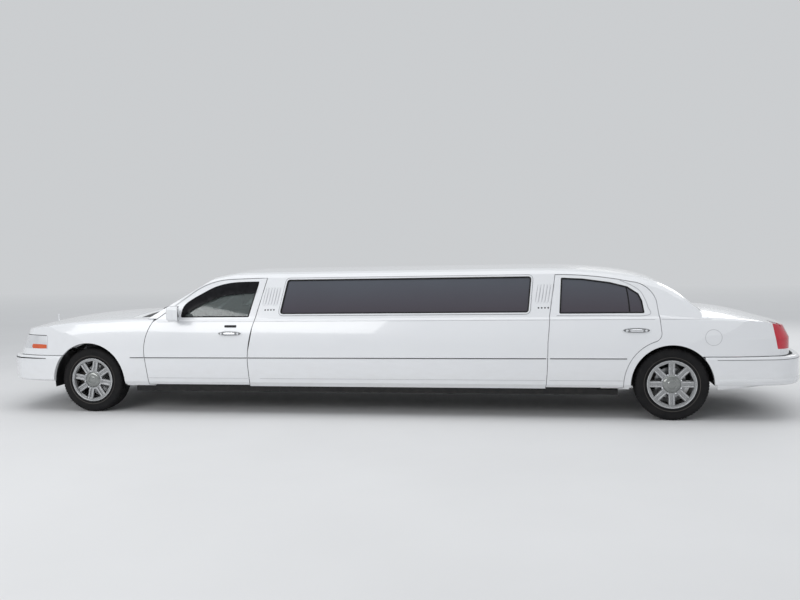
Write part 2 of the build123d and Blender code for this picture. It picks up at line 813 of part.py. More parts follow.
def arm_room(x0, x1, side):
    """Slot for a lid's arm in the panel beside its hinged edge."""
    half = LID_ARM_WIDTH / 2 + 1
    middle = side * LID_HINGE_HALF
    return slab(x0, x1, middle - half, middle + half, 960, 1100)


def lid_pin(x, z, side):
    """Pin across the slot of a lid's arm, let into the panel on both sides."""
    reach = LID_ARM_WIDTH / 2 + 7
    return rod_y(x, z, LID_PIN_RADIUS, side * LID_HINGE_HALF - reach, side * LID_HINGE_HALF + reach)


HOOD_PIN_X = HOOD_REAR_X + LID_PIN_SETBACK
HOOD_PIN_Z = 1038.0 - LID_PIN_DROP
LID_PIN_X = LID_FRONT_X - LID_PIN_SETBACK
LID_PIN_Z = 1038.0 - LID_PIN_DROP

with BuildPart() as hood:
    add(front_outer)
    add(front_clip(HOOD_WALL), mode=Mode.SUBTRACT)
    add(hood_prism, mode=Mode.INTERSECT)
    for side in (-1, 1):
        add(lid_arm(HOOD_PIN_X, HOOD_PIN_Z, side, -LID_PIN_SETBACK - 20))
finish(hood, "hood")

with BuildPart() as trunk_lid:
    add(rear_outer)
    add(rear_clip(HOOD_WALL), mode=Mode.SUBTRACT)
    add(lid_prism, mode=Mode.INTERSECT)
    add(cabin_outer, mode=Mode.SUBTRACT)
    for side in (-1, 1):
        add(lid_arm(LID_PIN_X, LID_PIN_Z, side, LID_PIN_SETBACK + 20))
finish(trunk_lid, "trunk_lid")

# Lamp rooms in the corners
with BuildPart() as headlamp_room:
    f = FRONT_AXLE_X
    with BuildSketch(Plane.XZ.offset(1000)):
        with BuildLine():
            Polyline((f - 1300, 682), (f - 493, 694), (f - 512, 831), (f - 1300, 808), close=True)
        make_face()
    extrude(amount=-480)
with BuildPart() as tail_lamp_room:
    r = REAR_AXLE_X
    with BuildSketch(Plane.XZ.offset(1000)):
        with BuildLine():
            Polyline((r + 905, 1000), (r + 1400, 1000), (r + 1400, 668), (r + 968, 686), (r + 936, 843), close=True)
        make_face()
    extrude(amount=-400)

with BuildPart() as headlamp:
    add(front_outer)
    add(headlamp_room.part, mode=Mode.INTERSECT)
    add(slab(FRONT_AXLE_X - 790, FRONT_AXLE_X, -740, -400, 600, 900), mode=Mode.SUBTRACT)
with BuildPart() as headlamps:
    add(headlamp.part)
    add(mirrored(headlamp.part))
finish(headlamps, "headlamps")
with BuildPart() as tail_lamp:
    add(rear_outer)
    add(tail_lamp_room.part, mode=Mode.INTERSECT)
    add(lid_hole, mode=Mode.SUBTRACT)
    add(slab(REAR_AXLE_X, REAR_AXLE_X + 1010, -810, -400, 600, 1100), mode=Mode.SUBTRACT)
with BuildPart() as tail_lamps:
    add(tail_lamp.part)
    add(mirrored(tail_lamp.part))
finish(tail_lamps, "tail_lamps")

# Wheel arch liners
def liner(axle_x, radius, wall):
    """Curved sheet over a left wheel, closed by a wall on its inner side where one is asked for."""
    inner = LINER_INNER - wall
    with BuildPart() as sheet:
        add(rod_y(axle_x, AXLE_Z, radius + LINER_THICK, -LINER_OUTER, -inner))
        add(rod_y(axle_x, AXLE_Z, radius, -LINER_OUTER - 1, -LINER_INNER), mode=Mode.SUBTRACT)
        if not wall:
            add(rod_y(axle_x, AXLE_Z, radius, -LINER_INNER - 1, -LINER_INNER + 1), mode=Mode.SUBTRACT)
        add(slab(axle_x - 500, axle_x + 500, -1000, 0, -200, LINER_LOW_Z), mode=Mode.SUBTRACT)
    return sheet.part


front_liner = liner(FRONT_AXLE_X, FRONT_ARCH_RADIUS, 0)
rear_liner = liner(REAR_AXLE_X, REAR_ARCH_RADIUS, LINER_THICK)


HEADER_HALF = 520.0
with BuildPart() as fender:
    add(front_shell.part)
    add(slab(-LENGTH, LENGTH, 0, 2000, 0, 2000), mode=Mode.SUBTRACT)
    add(hood_hole, mode=Mode.SUBTRACT)
    add(slab(HOOD_REAR_X, FRONT_AXLE_X + 1200, -COWL_HALF, 0, 900, 1200), mode=Mode.SUBTRACT)
    add(slab(-LENGTH, FRONT_AXLE_X, -1000, 0, 0, BUMPER_TOP + 6), mode=Mode.SUBTRACT)
    add(slab(-LENGTH, FRONT_AXLE_X - 700, -HEADER_HALF, 0, 0, 1200), mode=Mode.SUBTRACT)
    add(headlamp_room.part, mode=Mode.SUBTRACT)
    add(door_hole, mode=Mode.SUBTRACT)
    add(arch(FRONT_AXLE_X, FRONT_ARCH_RADIUS), mode=Mode.SUBTRACT)
    add(slab(FRONT_AXLE_X + 742, LENGTH, -1100, 0, 0, 1030), mode=Mode.SUBTRACT)
    add(slab(FRONT_AXLE_X + 815, LENGTH, -1100, 0, 0, 1200), mode=Mode.SUBTRACT)
    add(front_liner)
with BuildPart() as front_fenders:
    add(fender.part)
    add(mirrored(fender.part))
finish(front_fenders, "front_fenders")

with BuildPart() as cowl:
    add(front_shell.part)
    add(slab(HOOD_REAR_X, FRONT_AXLE_X + 1200, -COWL_HALF, COWL_HALF, 900, 1200), mode=Mode.INTERSECT)
    add(hood_hole, mode=Mode.SUBTRACT)
    for side in (-1, 1):
        add(arm_room(HOOD_REAR_X, HOOD_PIN_X + 12, side), mode=Mode.SUBTRACT)
    add(swing_room(HOOD_PIN_X, HOOD_PIN_Z, HOOD_REAR_X, HOOD_PIN_X), mode=Mode.SUBTRACT)
    for side in (-1, 1):
        add(lid_pin(HOOD_PIN_X, HOOD_PIN_Z, side))
finish(cowl, "cowl_panel")

with BuildPart() as quarter:
    add(cabin_shell.part)
    add(slab(QUARTER_X, LENGTH, -1000, 0, 900, 1600), mode=Mode.INTERSECT)
    add(rear_glass_hole.part, mode=Mode.SUBTRACT)
    # The rear pillar's foot, let into the deck
    foot_face = upper_wall_section(QUARTER_X, 0, FRAME_WALL, BELT_Z - BELT_LAP, BELT_Z + 1)
    extrude(foot_face, amount=REAR_AXLE_X + PILLAR_FOOT_END - QUARTER_X, dir=(1, 0, 0))
    add(rear_shell.part)
    add(slab(-LENGTH, LENGTH, 0, 2000, 0, 2000), mode=Mode.SUBTRACT)
    add(slab(-LENGTH, REAR_AXLE_X - 500, -2000, 0, 0, 2000), mode=Mode.SUBTRACT)
    add(rear_door_hole, mode=Mode.SUBTRACT)
    add(lid_hole, mode=Mode.SUBTRACT)
    add(tail_lamp_room.part, mode=Mode.SUBTRACT)
    add(slab(REAR_AXLE_X, LENGTH, -1000, 0, 0, BUMPER_TOP + 6), mode=Mode.SUBTRACT)
    add(slab(-LENGTH, QUARTER_X, -1000, 0, BELT_Z, 1600), mode=Mode.SUBTRACT)
    add(slab(-LENGTH, QUARTER_X, -880, 0, 900, 1600), mode=Mode.SUBTRACT)
    add(arch(REAR_AXLE_X, REAR_ARCH_RADIUS), mode=Mode.SUBTRACT)
    add(arm_room(LID_PIN_X - 12, LID_FRONT_X, -1), mode=Mode.SUBTRACT)
    add(swing_room(LID_PIN_X, LID_PIN_Z, LID_PIN_X, LID_FRONT_X), mode=Mode.SUBTRACT)
    add(slab(-LENGTH, REAR_AXLE_X + 200, -640, 0, 900, BELT_Z), mode=Mode.SUBTRACT)
    add(lid_pin(LID_PIN_X, LID_PIN_Z, -1))
    add(rear_liner)
with BuildPart() as quarter_panels:
    add(quarter.part)
    add(mirrored(quarter.part))
finish(quarter_panels, "quarter_panels")


# Bumpers: outer outline in plan, left half
def front_bumper_plan(inset):
    front = NOSE_X + inset
    with BuildSketch(Plane.XY.offset(BUMPER_BOTTOM)) as plan:
        with BuildLine():
            nose = ThreePointArc((front, 0), (front + 22, -350), (front + 88, -640))
            corner = ThreePointArc(nose @ 1, (front + 160, -790 + inset / 2), (front + 275, -884 + inset))
            cheek = ThreePointArc(corner @ 1, (front + 480, -948 + inset), (front + 860, -982 + inset))
            back = Line(cheek @ 1, (front + 860, 0))
            mirror(about=Plane.XZ)
        make_face()
    return plan.sketch.faces()[0]


def rear_bumper_plan(inset):
    back = TAIL_X - inset
    with BuildSketch(Plane.XY.offset(BUMPER_BOTTOM)) as plan:
        with BuildLine():
            tail = ThreePointArc((back, 0), (back - 15, -340), (back - 62, -640))
            corner = TangentArc(tail @ 1, (back - 373, inset - 935), tangent=tail % 1)
            cheek = TangentArc(corner @ 1, (back - 1000, inset - 984), tangent=corner % 1)
            front = Line(cheek @ 1, (back - 1000, 0))
            mirror(about=Plane.XZ)
        make_face()
    return plan.sketch.faces()[0]


BUMPER_EDGE = 26.0
with BuildPart() as front_bumper:
    extrude(front_bumper_plan(0), amount=BUMPER_TOP - BUMPER_BOTTOM, dir=(0, 0, 1))
    outer_edges = front_bumper.edges().filter_by(GeomType.CIRCLE)
    fillet(outer_edges.group_by(Axis.Z)[0] + outer_edges.group_by(Axis.Z)[-1], radius=BUMPER_EDGE)
    extrude(front_bumper_plan(BUMPER_WALL), amount=BUMPER_TOP - BUMPER_BOTTOM, dir=(0, 0, 1), mode=Mode.SUBTRACT)
    add(slab(FRONT_AXLE_X - 300, LENGTH, -1100, 1100, 0, 900), mode=Mode.SUBTRACT)
    add(arch(FRONT_AXLE_X, FRONT_ARCH_RADIUS), mode=Mode.SUBTRACT)
    add(front_liner, mode=Mode.SUBTRACT)
    add(mirrored(front_liner), mode=Mode.SUBTRACT)
    with BuildSketch(Plane.YZ.offset(NOSE_X - 10)):
        with Locations((0, 430)):
            RectangleRounded(760, 96, 30)
    extrude(amount=200, mode=Mode.SUBTRACT)
finish(front_bumper, "front_bumper")
with BuildPart() as rear_bumper:
    extrude(rear_bumper_plan(0), amount=BUMPER_TOP - BUMPER_BOTTOM, dir=(0, 0, 1))
    outer_edges = rear_bumper.edges().filter_by(GeomType.CIRCLE)
    fillet(outer_edges.group_by(Axis.Z)[0] + outer_edges.group_by(Axis.Z)[-1], radius=BUMPER_EDGE)
    extrude(rear_bumper_plan(BUMPER_WALL), amount=BUMPER_TOP - BUMPER_BOTTOM, dir=(0, 0, 1), mode=Mode.SUBTRACT)
    add(slab(-LENGTH, REAR_AXLE_X + 300, -1100, 1100, 0, 900), mode=Mode.SUBTRACT)
    add(arch(REAR_AXLE_X, REAR_ARCH_RADIUS), mode=Mode.SUBTRACT)
    add(rear_liner, mode=Mode.SUBTRACT)
    add(mirrored(rear_liner), mode=Mode.SUBTRACT)
finish(rear_bumper, "rear_bumper")

# Grille: a frame round upright bars, leaning back with the nose
GRILLE_WIDTH = 620.0
GRILLE_HEIGHT = 206.0
GRILLE_BARS = 17
GRILLE_Z = 742.0
grille_x = NOSE_X + 55 + 0.43 * (GRILLE_Z - BUMPER_TOP)
grille_plane = Plane(origin=(grille_x, 0, GRILLE_Z), x_dir=(0, -1, 0), z_dir=(-1, 0, 0.43))
with BuildPart() as grille_room:
    with BuildSketch(grille_plane.offset(-120)):
        RectangleRounded(GRILLE_WIDTH, GRILLE_HEIGHT, 24)
    extrude(amount=180)
with BuildPart() as grille:
    with BuildSketch(grille_plane.offset(-70)):
        RectangleRounded(GRILLE_WIDTH, GRILLE_HEIGHT, 24)
        RectangleRounded(GRILLE_WIDTH - 44, GRILLE_HEIGHT - 40, 14, mode=Mode.SUBTRACT)
    extrude(amount=88)
    with BuildSketch(grille_plane.offset(-50)):
        with GridLocations((GRILLE_WIDTH - 44) / GRILLE_BARS, 0, GRILLE_BARS, 1):
            Rectangle(13, GRILLE_HEIGHT - 30)
    extrude(amount=58)
finish(grille, "grille")
ORNAMENT_X = FRONT_AXLE_X - 944.0
ORNAMENT_FOOT = 888.0
ORNAMENT_TOP = 999.0
with BuildPart() as header:
    add(front_shell.part)
    add(slab(-LENGTH, FRONT_AXLE_X - 700, -HEADER_HALF, HEADER_HALF, BUMPER_TOP + 6, 1200), mode=Mode.INTERSECT)
    add(hood_hole, mode=Mode.SUBTRACT)
    add(grille_room.part, mode=Mode.SUBTRACT)
    # Plain upright ornament on its foot
    add(slab(ORNAMENT_X - 7, ORNAMENT_X + 7, -9, 9, ORNAMENT_FOOT, ORNAMENT_FOOT + 24))
    add(slab(ORNAMENT_X - 5, ORNAMENT_X + 5, -3, 3, ORNAMENT_FOOT, ORNAMENT_TOP))
finish(header, "header_panel")

# Frame rails with a kick-up at each end, and cross-members
FLOOR_TOP = 306.0
FLOOR_BOTTOM = 292.0
RAIL_HALF = 440.0
RAIL_THICK = 80.0
PAN_BOTTOM = 488.0
PAN_TOP = 500.0
RISER_X = REAR_AXLE_X - 700.0
RAIL_END_X = TAIL_X - 60.0
SHAFT_Z = 252.0
SHAFT_RADIUS = 30.0
PIPE_RADIUS = 25.0
PIPE_HALF = 240.0
with BuildPart() as rails:
    f = FRONT_AXLE_X
    r = REAR_AXLE_X
    for side in (-1, 1):
        with BuildSketch(Plane.XZ.offset(-side * RAIL_HALF + RAIL_THICK / 2)):
            with BuildLine():
                Polyline(
                    (NOSE_X + 60, 460),
                    (f + 330, 460),
                    (f + 600, FLOOR_BOTTOM),
                    (RISER_X, FLOOR_BOTTOM),
                    (r - 420, PAN_BOTTOM),
                    (RAIL_END_X, PAN_BOTTOM),
                    (RAIL_END_X, PAN_BOTTOM - 80),
                    (r - 380, PAN_BOTTOM - 80),
                    (RISER_X + 40, FLOOR_BOTTOM - 80),
                    (f + 560, FLOOR_BOTTOM - 80),
                    (f + 290, 380),
                    (NOSE_X + 60, 380),
                    close=True,
                )
            make_face()
        extrude(amount=-RAIL_THICK)
    # Cross-members: x, half width along x, bottom, top
    for x, half, z0, z1 in [
        (f - 700, 30, 392, 450),
        (f + 1300, 35, FLOOR_BOTTOM - 80, FLOOR_BOTTOM - 4),
        (f + 2080, 35, FLOOR_BOTTOM - 80, FLOOR_BOTTOM - 4),
        (f + 2900, 35, FLOOR_BOTTOM - 80, FLOOR_BOTTOM - 4),
        (f + 3700, 35, FLOOR_BOTTOM - 80, FLOOR_BOTTOM - 4),
        (f + 4500, 35, FLOOR_BOTTOM - 80, FLOOR_BOTTOM - 4),
        (r + 620, 30, 420, 480),
    ]:
        add(slab(x - half, x + half, -RAIL_HALF, RAIL_HALF, z0, z1))
    # Outriggers and the sills that they carry
    for side in (-1, 1):
        y0, y1 = sorted((side * (RAIL_HALF + RAIL_THICK / 2), side * 860))
        for x in (f + 640, f + 1500, f + 2500, f + 3500, f + 4500, r - 760):
            add(slab(x - 25, x + 25, y0, y1, FLOOR_BOTTOM - 46, FLOOR_BOTTOM))
        y = side * 880
        add(rounded_slab(f + 520, r - 500, y - 35, y + 35, 240, FLOOR_BOTTOM, 6))
    # Seats of the shaft and the exhaust pipes in the cross-members
    for y, radius in ((0, SHAFT_RADIUS), (-PIPE_HALF, PIPE_RADIUS), (PIPE_HALF, PIPE_RADIUS)):
        half = radius + PIN_CLEARANCE
        add(slab(f + 1000, r - 700, y - half, y + half, SHAFT_Z - half, SHAFT_Z + half), mode=Mode.SUBTRACT)
    add(front_bumper.part, mode=Mode.SUBTRACT)
    add(rear_bumper.part, mode=Mode.SUBTRACT)
finish(rails, "chassis_frame")

# Insides of the front and rear bodies, which closing plates fill out to
front_room = front_clip(FENDER_WALL)
FLOOR_HALF = BODY_HALF - DOOR_WALL
FIREWALL_X = FRONT_AXLE_X + 520.0
FIREWALL_THICK = 24.0

POST_X = FIREWALL_X + 84.0
with BuildPart() as firewall:
    add(slab(FIREWALL_X, FIREWALL_X + FIREWALL_THICK, -1000, 1000, FLOOR_TOP, BELT_Z))
    for side in (-1, 1):
        y0, y1 = sorted((side * 1000, side * (PILLAR_HALF_WIDTH - PILLAR_DEPTH)))
        add(slab(FIREWALL_X + FIREWALL_THICK, POST_X, y0, y1, 330, 1000))
        y0, y1 = sorted((side * PILLAR_HALF_WIDTH, side * (PILLAR_HALF_WIDTH - PILLAR_DEPTH)))
        add(slab(POST_X, FRONT_PIN_X + 20, y0, y1, 330, 1000))
    add(front_room, mode=Mode.INTERSECT)
    add(rails.part, mode=Mode.SUBTRACT)
    for height in HINGE_HEIGHTS:
        add(hinge_clevis(FRONT_PIN_X, height))
        add(mirrored(hinge_clevis(FRONT_PIN_X, height)))
finish(firewall, "firewall")

# Floor with the riser under the rear seat, the trunk floor, the bulkhead behind the seat and the rear shelf
BULKHEAD_X = REAR_AXLE_X + 60.0
HOUSE_HALF = LINER_INNER - LINER_THICK
TOE_HALF = 880.0
TRUNK_OUTLINE = [
    (REAR_AXLE_X - 400, 10 - FLOOR_HALF),
    (REAR_AXLE_X + 240, 10 - FLOOR_HALF),
    (REAR_AXLE_X + 300, -885),
    (REAR_AXLE_X + 560, -875),
    (REAR_AXLE_X + 860, -835),
    (REAR_AXLE_X + 1030, -740),
    (REAR_AXLE_X + 1090, -400),
]
SHELF_TOP = 962.0
with BuildPart() as trunk_floor:
    with BuildSketch(Plane.XY.offset(PAN_BOTTOM)):
        with BuildLine():
            right_half = [(x, -y) for x, y in reversed(TRUNK_OUTLINE)]
            Polyline(*TRUNK_OUTLINE, *right_half, close=True)
        make_face()
    extrude(amount=PAN_TOP - PAN_BOTTOM)
    add(slab(BULKHEAD_X, BULKHEAD_X + 12, -840, 840, PAN_TOP, SHELF_TOP))
    add(slab(BULKHEAD_X + 12, LID_PIN_X - 20, -760, 760, SHELF_TOP - 12, SHELF_TOP))
    add(wheel_houses(REAR_AXLE_X, REAR_ARCH_RADIUS + LINER_THICK, HOUSE_HALF), mode=Mode.SUBTRACT)
with BuildPart() as floor_pan:
    add(slab(FIREWALL_X, FRONT_AXLE_X + 750, -TOE_HALF, TOE_HALF, FLOOR_BOTTOM, FLOOR_TOP))
    add(slab(FRONT_AXLE_X + 750, RISER_X, -FLOOR_HALF, FLOOR_HALF, FLOOR_BOTTOM, FLOOR_TOP))
    add(slab(RISER_X - 12, RISER_X, 10 - FLOOR_HALF, FLOOR_HALF - 10, FLOOR_TOP, PAN_TOP))
    add(slab(RISER_X, REAR_AXLE_X - 400, 10 - FLOOR_HALF, FLOOR_HALF - 10, PAN_BOTTOM, PAN_TOP))
    add(trunk_floor.part)
    add(rails.part, mode=Mode.SUBTRACT)
finish(floor_pan, "floor_pan")

# Engine and gearbox as one plain block on the frame's front cross-member
ENGINE_SEAT_Z = 320.0
GEARBOX_END_X = FRONT_AXLE_X + 1200.0
with BuildPart() as engine:
    f = FRONT_AXLE_X
    add(slab(f - 420, f + 360, -290, 290, ENGINE_SEAT_Z, 850))
    add(slab(f + 360, FIREWALL_X - 10, -200, 200, 200, 640))
    add(slab(FIREWALL_X - 10, GEARBOX_END_X, -150, 150, 200, FLOOR_BOTTOM - 2))
finish(engine, "engine_block")


def spoke_window():
    """Opening between two spokes, along local X."""
    with BuildSketch() as window:
        with BuildLine():
            Polyline((93, -6), (200, -50), (200, 50), (93, 6), close=True)
        make_face()
    return window.sketch


# Wheels, turned about Y with the outer face at minus Y
def rim():
    """Wheel disc with eight grooved spokes, the barrel, the brake disc and the hub."""
    with BuildPart() as wheel:
        with BuildSketch(Plane.YZ):
            with BuildLine():
                Polyline(
                    (-107, RIM_RADIUS),
                    (-101, BEAD_RADIUS),
                    (101, BEAD_RADIUS),
                    (107, RIM_RADIUS),
                    (107, 206),
                    (-66, 206),
                    (-66, 70),
                    (10, 70),
                    (10, 150),
                    (34, 150),
                    (34, SPINDLE_RADIUS + PIN_CLEARANCE),
                    (-40, SPINDLE_RADIUS + PIN_CLEARANCE),
                    (-40, 0),
                    (-101, 0),
                    (-101, 60),
                    (-90, 84),
                    (-90, 208),
                    (-107, 208),
                    close=True,
                )
            make_face()
        revolve(axis=Axis.Y)
        with BuildSketch(Plane.XZ.offset(110)):
            with PolarLocations(0, SPOKES, start_angle=180 / SPOKES):
                add(spoke_window())
        extrude(amount=-52, mode=Mode.SUBTRACT)
        with BuildSketch(Plane.XZ.offset(110)):
            with PolarLocations(150, SPOKES):
                Rectangle(96, 20)
        extrude(amount=-26, mode=Mode.SUBTRACT)
    return wheel.part


def tyre():
    """Tyre with plain tread and slanted shoulders."""
    half = TYRE_WIDTH / 2
    with BuildPart() as ring:
        with BuildSketch(Plane.YZ):
            with BuildLine():
                Polyline(
                    (-88, BEAD_RADIUS),
                    (-half, 270),
                    (-half, 322),
                    (-half + 26, TYRE_RADIUS),
                    (half - 26, TYRE_RADIUS),
                    (half, 322),
                    (half, 270),
                    (88, BEAD_RADIUS),
                    close=True,
                )
            make_face()
        revolve(axis=Axis.Y)
    return ring.part


wheel_rim = rim()
wheel_tyre = tyre()
for end, axle_x, track in (("front", FRONT_AXLE_X, FRONT_TRACK), ("rear", REAR_AXLE_X, REAR_TRACK)):
    for kind, shape in (("rim", wheel_rim), ("tyre", wheel_tyre)):
        with BuildPart() as left_piece:
            parked = shape.rotate(Axis.Y, PARKED_TURNS[end])
            add(parked.moved(Location((axle_x, -track / 2, AXLE_Z))))
        finish(left_piece, f"{kind}_{end}_left")
        with BuildPart() as right_piece:
            add(mirrored(left_piece.part))
        finish(right_piece, f"{kind}_{end}_right")

# Steering knuckles: an upright between two ball joints, the spindle, the caliper and the steering arm
KINGPIN_HALF = 735.0
LOWER_JOINT_Z = 235.0
UPPER_JOINT_Z = 470.0
BALL_RADIUS = 14.0
ARM_THICK = 22.0
with BuildPart() as knuckle:
    f = FRONT_AXLE_X
    y_hub = -FRONT_TRACK / 2
    add(slab(f - 26, f + 26, -765, -722, LOWER_JOINT_Z + 24, UPPER_JOINT_Z - 24))
    with BuildSketch(Plane.XY.offset(LOWER_JOINT_Z - 18)):
        with Locations((f, -KINGPIN_HALF)):
            Circle(BALL_RADIUS)
    extrude(amount=UPPER_JOINT_Z - LOWER_JOINT_Z + 36)
    add(rod_y(f, AXLE_Z, SPINDLE_RADIUS, y_hub - 36, -740))
    add(slab(f + 26, f + 120, -750, -734, AXLE_Z - 60, AXLE_Z - 36))
    add(slab(f - 160, f - 26, -757, -745, AXLE_Z - 30, AXLE_Z + 60))
    add(slab(f - 186, f - 100, y_hub - 14, -745, AXLE_Z - 50, AXLE_Z + 70))
    with BuildSketch(Plane.XZ.offset(-y_hub - 4)):
        with Locations((f, AXLE_Z)):
            Circle(156)
    extrude(amount=-38, mode=Mode.SUBTRACT)
    add(rod_y(f, AXLE_Z, SPINDLE_RADIUS, y_hub - 36, -740))
finish(knuckle, "knuckle_left")
with BuildPart() as knuckle_right:
    add(mirrored(knuckle.part))
finish(knuckle_right, "knuckle_right")

# Front suspension: cross-member, lower and upper arms with their ball sockets
with BuildPart() as front_suspension:
    f = FRONT_AXLE_X
    add(slab(f - 90, f + 90, -400, 400, 225, ENGINE_SEAT_Z))
    for side in (-1, 1):
        for z, spread, root in ((LOWER_JOINT_Z, 150, 400), (UPPER_JOINT_Z, 90, 480)):
            with BuildSketch(Plane.XY.offset(z - ARM_THICK / 2)):
                with BuildLine():
                    Polyline(
                        (f - spread, side * root),
                        (f - 24, side * KINGPIN_HALF),
                        (f + 24, side * KINGPIN_HALF),
                        (f + spread, side * root),
                        close=True,
                    )
                make_face()
                with Locations((f, side * KINGPIN_HALF)):
                    Circle(24)
                with Locations((f, side * (root + 95))):
                    Circle(38, mode=Mode.SUBTRACT)
                with Locations((f, side * KINGPIN_HALF)):
                    Circle(BALL_RADIUS + PIN_CLEARANCE, mode=Mode.SUBTRACT)
            extrude(amount=ARM_THICK)
        y0, y1 = sorted((side * 400, side * 480))
        add(slab(f - 90, f + 90, y0, y1, 460, 482))
        add(slab(f - 60, f + 60, y0, y1, 320, 380))
        add(slab(f - 60, f + 60, side * 440 - 40, side * 440 + 40, 225, 330))
finish(front_suspension, "front_suspension")

# Rear axle with its spindles, trailing arms and springs
with BuildPart() as rear_axle:
    r = REAR_AXLE_X
    y_hub = REAR_TRACK / 2
    add(rod_y(r, AXLE_Z, 40, -y_hub + 60, y_hub - 60))
    add(rod_y(r, AXLE_Z, SPINDLE_RADIUS, -y_hub - 36, y_hub + 36))
    with BuildSketch(Plane.YZ.offset(r - 130)):
        with Locations((0, AXLE_Z)):
            RectangleRounded(230, 220, 90)
    extrude(amount=250)
    for side in (-1, 1):
        y = side * 560
        add(slab(r - 560, r + 20, y - 22, y + 22, 290, 320))
        add(slab(r - 30, r + 30, y - 22, y + 22, 300, 330))
        y0, y1 = sorted((side * (RAIL_HALF + RAIL_THICK / 2), side * 582))
        add(slab(r - 560, r - 510, y0, y1, 290, 340))
        with BuildSketch(Plane.XY.offset(AXLE_Z + 34)):
            with Locations((r, side * RAIL_HALF)):
                Circle(34)
        extrude(amount=PAN_BOTTOM - 80 - AXLE_Z - 34)
    # Propeller shaft: a long straight tube, a joint and a short inclined tube
    bend = r - 620
    nose_of_axle = r - 130
    rise = AXLE_Z - 10 - SHAFT_Z
    add(rod_x(GEARBOX_END_X, bend, 0, SHAFT_Z, SHAFT_RADIUS))
    add(rod_x(bend - 40, bend + 40, 0, SHAFT_Z, SHAFT_RADIUS + 12))
    shaft_end = Plane(origin=(bend, 0, SHAFT_Z), x_dir=(0, 1, 0), z_dir=(nose_of_axle - bend, 0, rise))
    with BuildSketch(shaft_end):
        Circle(SHAFT_RADIUS)
    extrude(amount=math.hypot(nose_of_axle - bend, rise) + 10)
finish(rear_axle, "rear_axle")

# Exhaust: two straight pipes with mufflers under the floor
with BuildPart() as exhaust:
    f = FRONT_AXLE_X
    for side in (-1, 1):
        add(rod_x(FIREWALL_X, REAR_AXLE_X - 900, side * PIPE_HALF, SHAFT_Z, PIPE_RADIUS))
        with BuildSketch(Plane.YZ.offset(f + 2260)):
            with Locations((side * PIPE_HALF, SHAFT_Z - 6)):
                RectangleRounded(210, 76, 36)
        extrude(amount=520)
finish(exhaust, "exhaust")

with BuildPart() as fuel_tank:
    add(rounded_slab(REAR_AXLE_X + 660, REAR_AXLE_X + 1050, -380, 380, 300, PAN_BOTTOM, 50))
finish(fuel_tank, "fuel_tank")

# Cabin: dashboard, steering wheel, seats, partition and the side bench
DASH_START = FIREWALL_X + FIREWALL_THICK
WHEEL_Y = -370.0
COLUMN_LENGTH = 150.0
COLUMN_RADIUS = 20.0
column_plane = Plane(origin=(DASH_START + 420, WHEEL_Y, 862), x_dir=(0, 1, 0), z_dir=(0.9, 0, 0.43))
with BuildPart() as dashboard:
    with BuildSketch(Plane.XZ.offset(-820)):
        with BuildLine():
            Polyline(
                (DASH_START, 620),
                (DASH_START, 985),
                (DASH_START + 170, 992),
                (DASH_START + 400, 960),
                (DASH_START + 440, 880),
                (DASH_START + 380, 760),
                (DASH_START + 330, 620),
                close=True,
            )
        make_face()
    extrude(amount=1640)
    add(front_shell.part, mode=Mode.SUBTRACT)
    with BuildSketch(column_plane.offset(-64)):
        Circle(COLUMN_RADIUS + 2 * PIN_CLEARANCE)
    extrude(amount=200, mode=Mode.SUBTRACT)
finish(dashboard, "dashboard")

with BuildPart() as steering_wheel:
    with BuildSketch(column_plane.offset(-60)):
        Circle(COLUMN_RADIUS)
    extrude(amount=COLUMN_LENGTH + 50)
    with BuildSketch(column_plane.offset(COLUMN_LENGTH - 30)):
        Circle(62)
        Rectangle(352, 44)
        with Locations((0, -90)):
            Rectangle(44, 176)
    extrude(amount=26)
    with BuildSketch(column_plane.offset(COLUMN_LENGTH - 32)):
        Circle(190)
        Circle(164, mode=Mode.SUBTRACT)
    extrude(amount=30)
finish(steering_wheel, "steering_wheel")


def seat(x, y, width, cushion_z, back_top, depth=560, rake=110):
    """Seat of one padded body: cushion and raked back."""
    with BuildPart() as padded:
        with BuildSketch(Plane.XZ.offset(-y - width / 2)):
            with BuildLine():
                Polyline(
                    (x, FLOOR_TOP + SOFT_GAP),
                    (x, cushion_z - 30),
                    (x + 30, cushion_z),
                    (x + depth - 110, cushion_z - 20),
                    (x + depth - 110 + rake, back_top - 30),
                    (x + depth - 80 + rake, back_top),
                    (x + depth + rake, back_top),
                    (x + depth + 40, FLOOR_TOP + SOFT_GAP),
                    close=True,
                )
            make_face()
        extrude(amount=width)
    return padded.part


# Seats: two in front, a bench along the right wall and one at the back
SOFT_GAP = 0.3
LOUNGE_X = FRONT_AXLE_X + 2300.0
BENCH_LENGTH = REAR_AXLE_X - 1350.0 - LOUNGE_X
REAR_SEAT_HALF = HOUSE_HALF - 3.0
with BuildPart() as seats:
    for y in (-370, 370):
        add(seat(FRONT_AXLE_X + 1180, y, 520, 580, 1010))
        with BuildSketch(Plane.XY.offset(1010)):
            with Locations((FRONT_AXLE_X + 1180 + 620, y)):
                RectangleRounded(70, 260, 30)
        extrude(amount=170)
    with BuildSketch(Plane.XZ.offset(-REAR_SEAT_HALF)):
        with BuildLine():
            r = REAR_AXLE_X
            Polyline(
                (r - 660, PAN_TOP + SOFT_GAP),
                (r - 660, 630),
                (r - 630, 650),
                (r - 170, 620),
                (r - 60, 1060),
                (r - 10, 1060),
                (r + 50, PAN_TOP + SOFT_GAP),
                close=True,
            )
        make_face()
    extrude(amount=2 * REAR_SEAT_HALF)
    with BuildSketch(Plane.YZ.offset(LOUNGE_X)):
        with BuildLine():
            Polyline(
                (400, FLOOR_TOP + SOFT_GAP),
                (400, 560),
                (420, 600),
                (700, 590),
                (740, 1030),
                (800, 1040),
                (840, 600),
                (840, FLOOR_TOP + SOFT_GAP),
                close=True,
            )
        make_face()
    extrude(amount=BENCH_LENGTH)
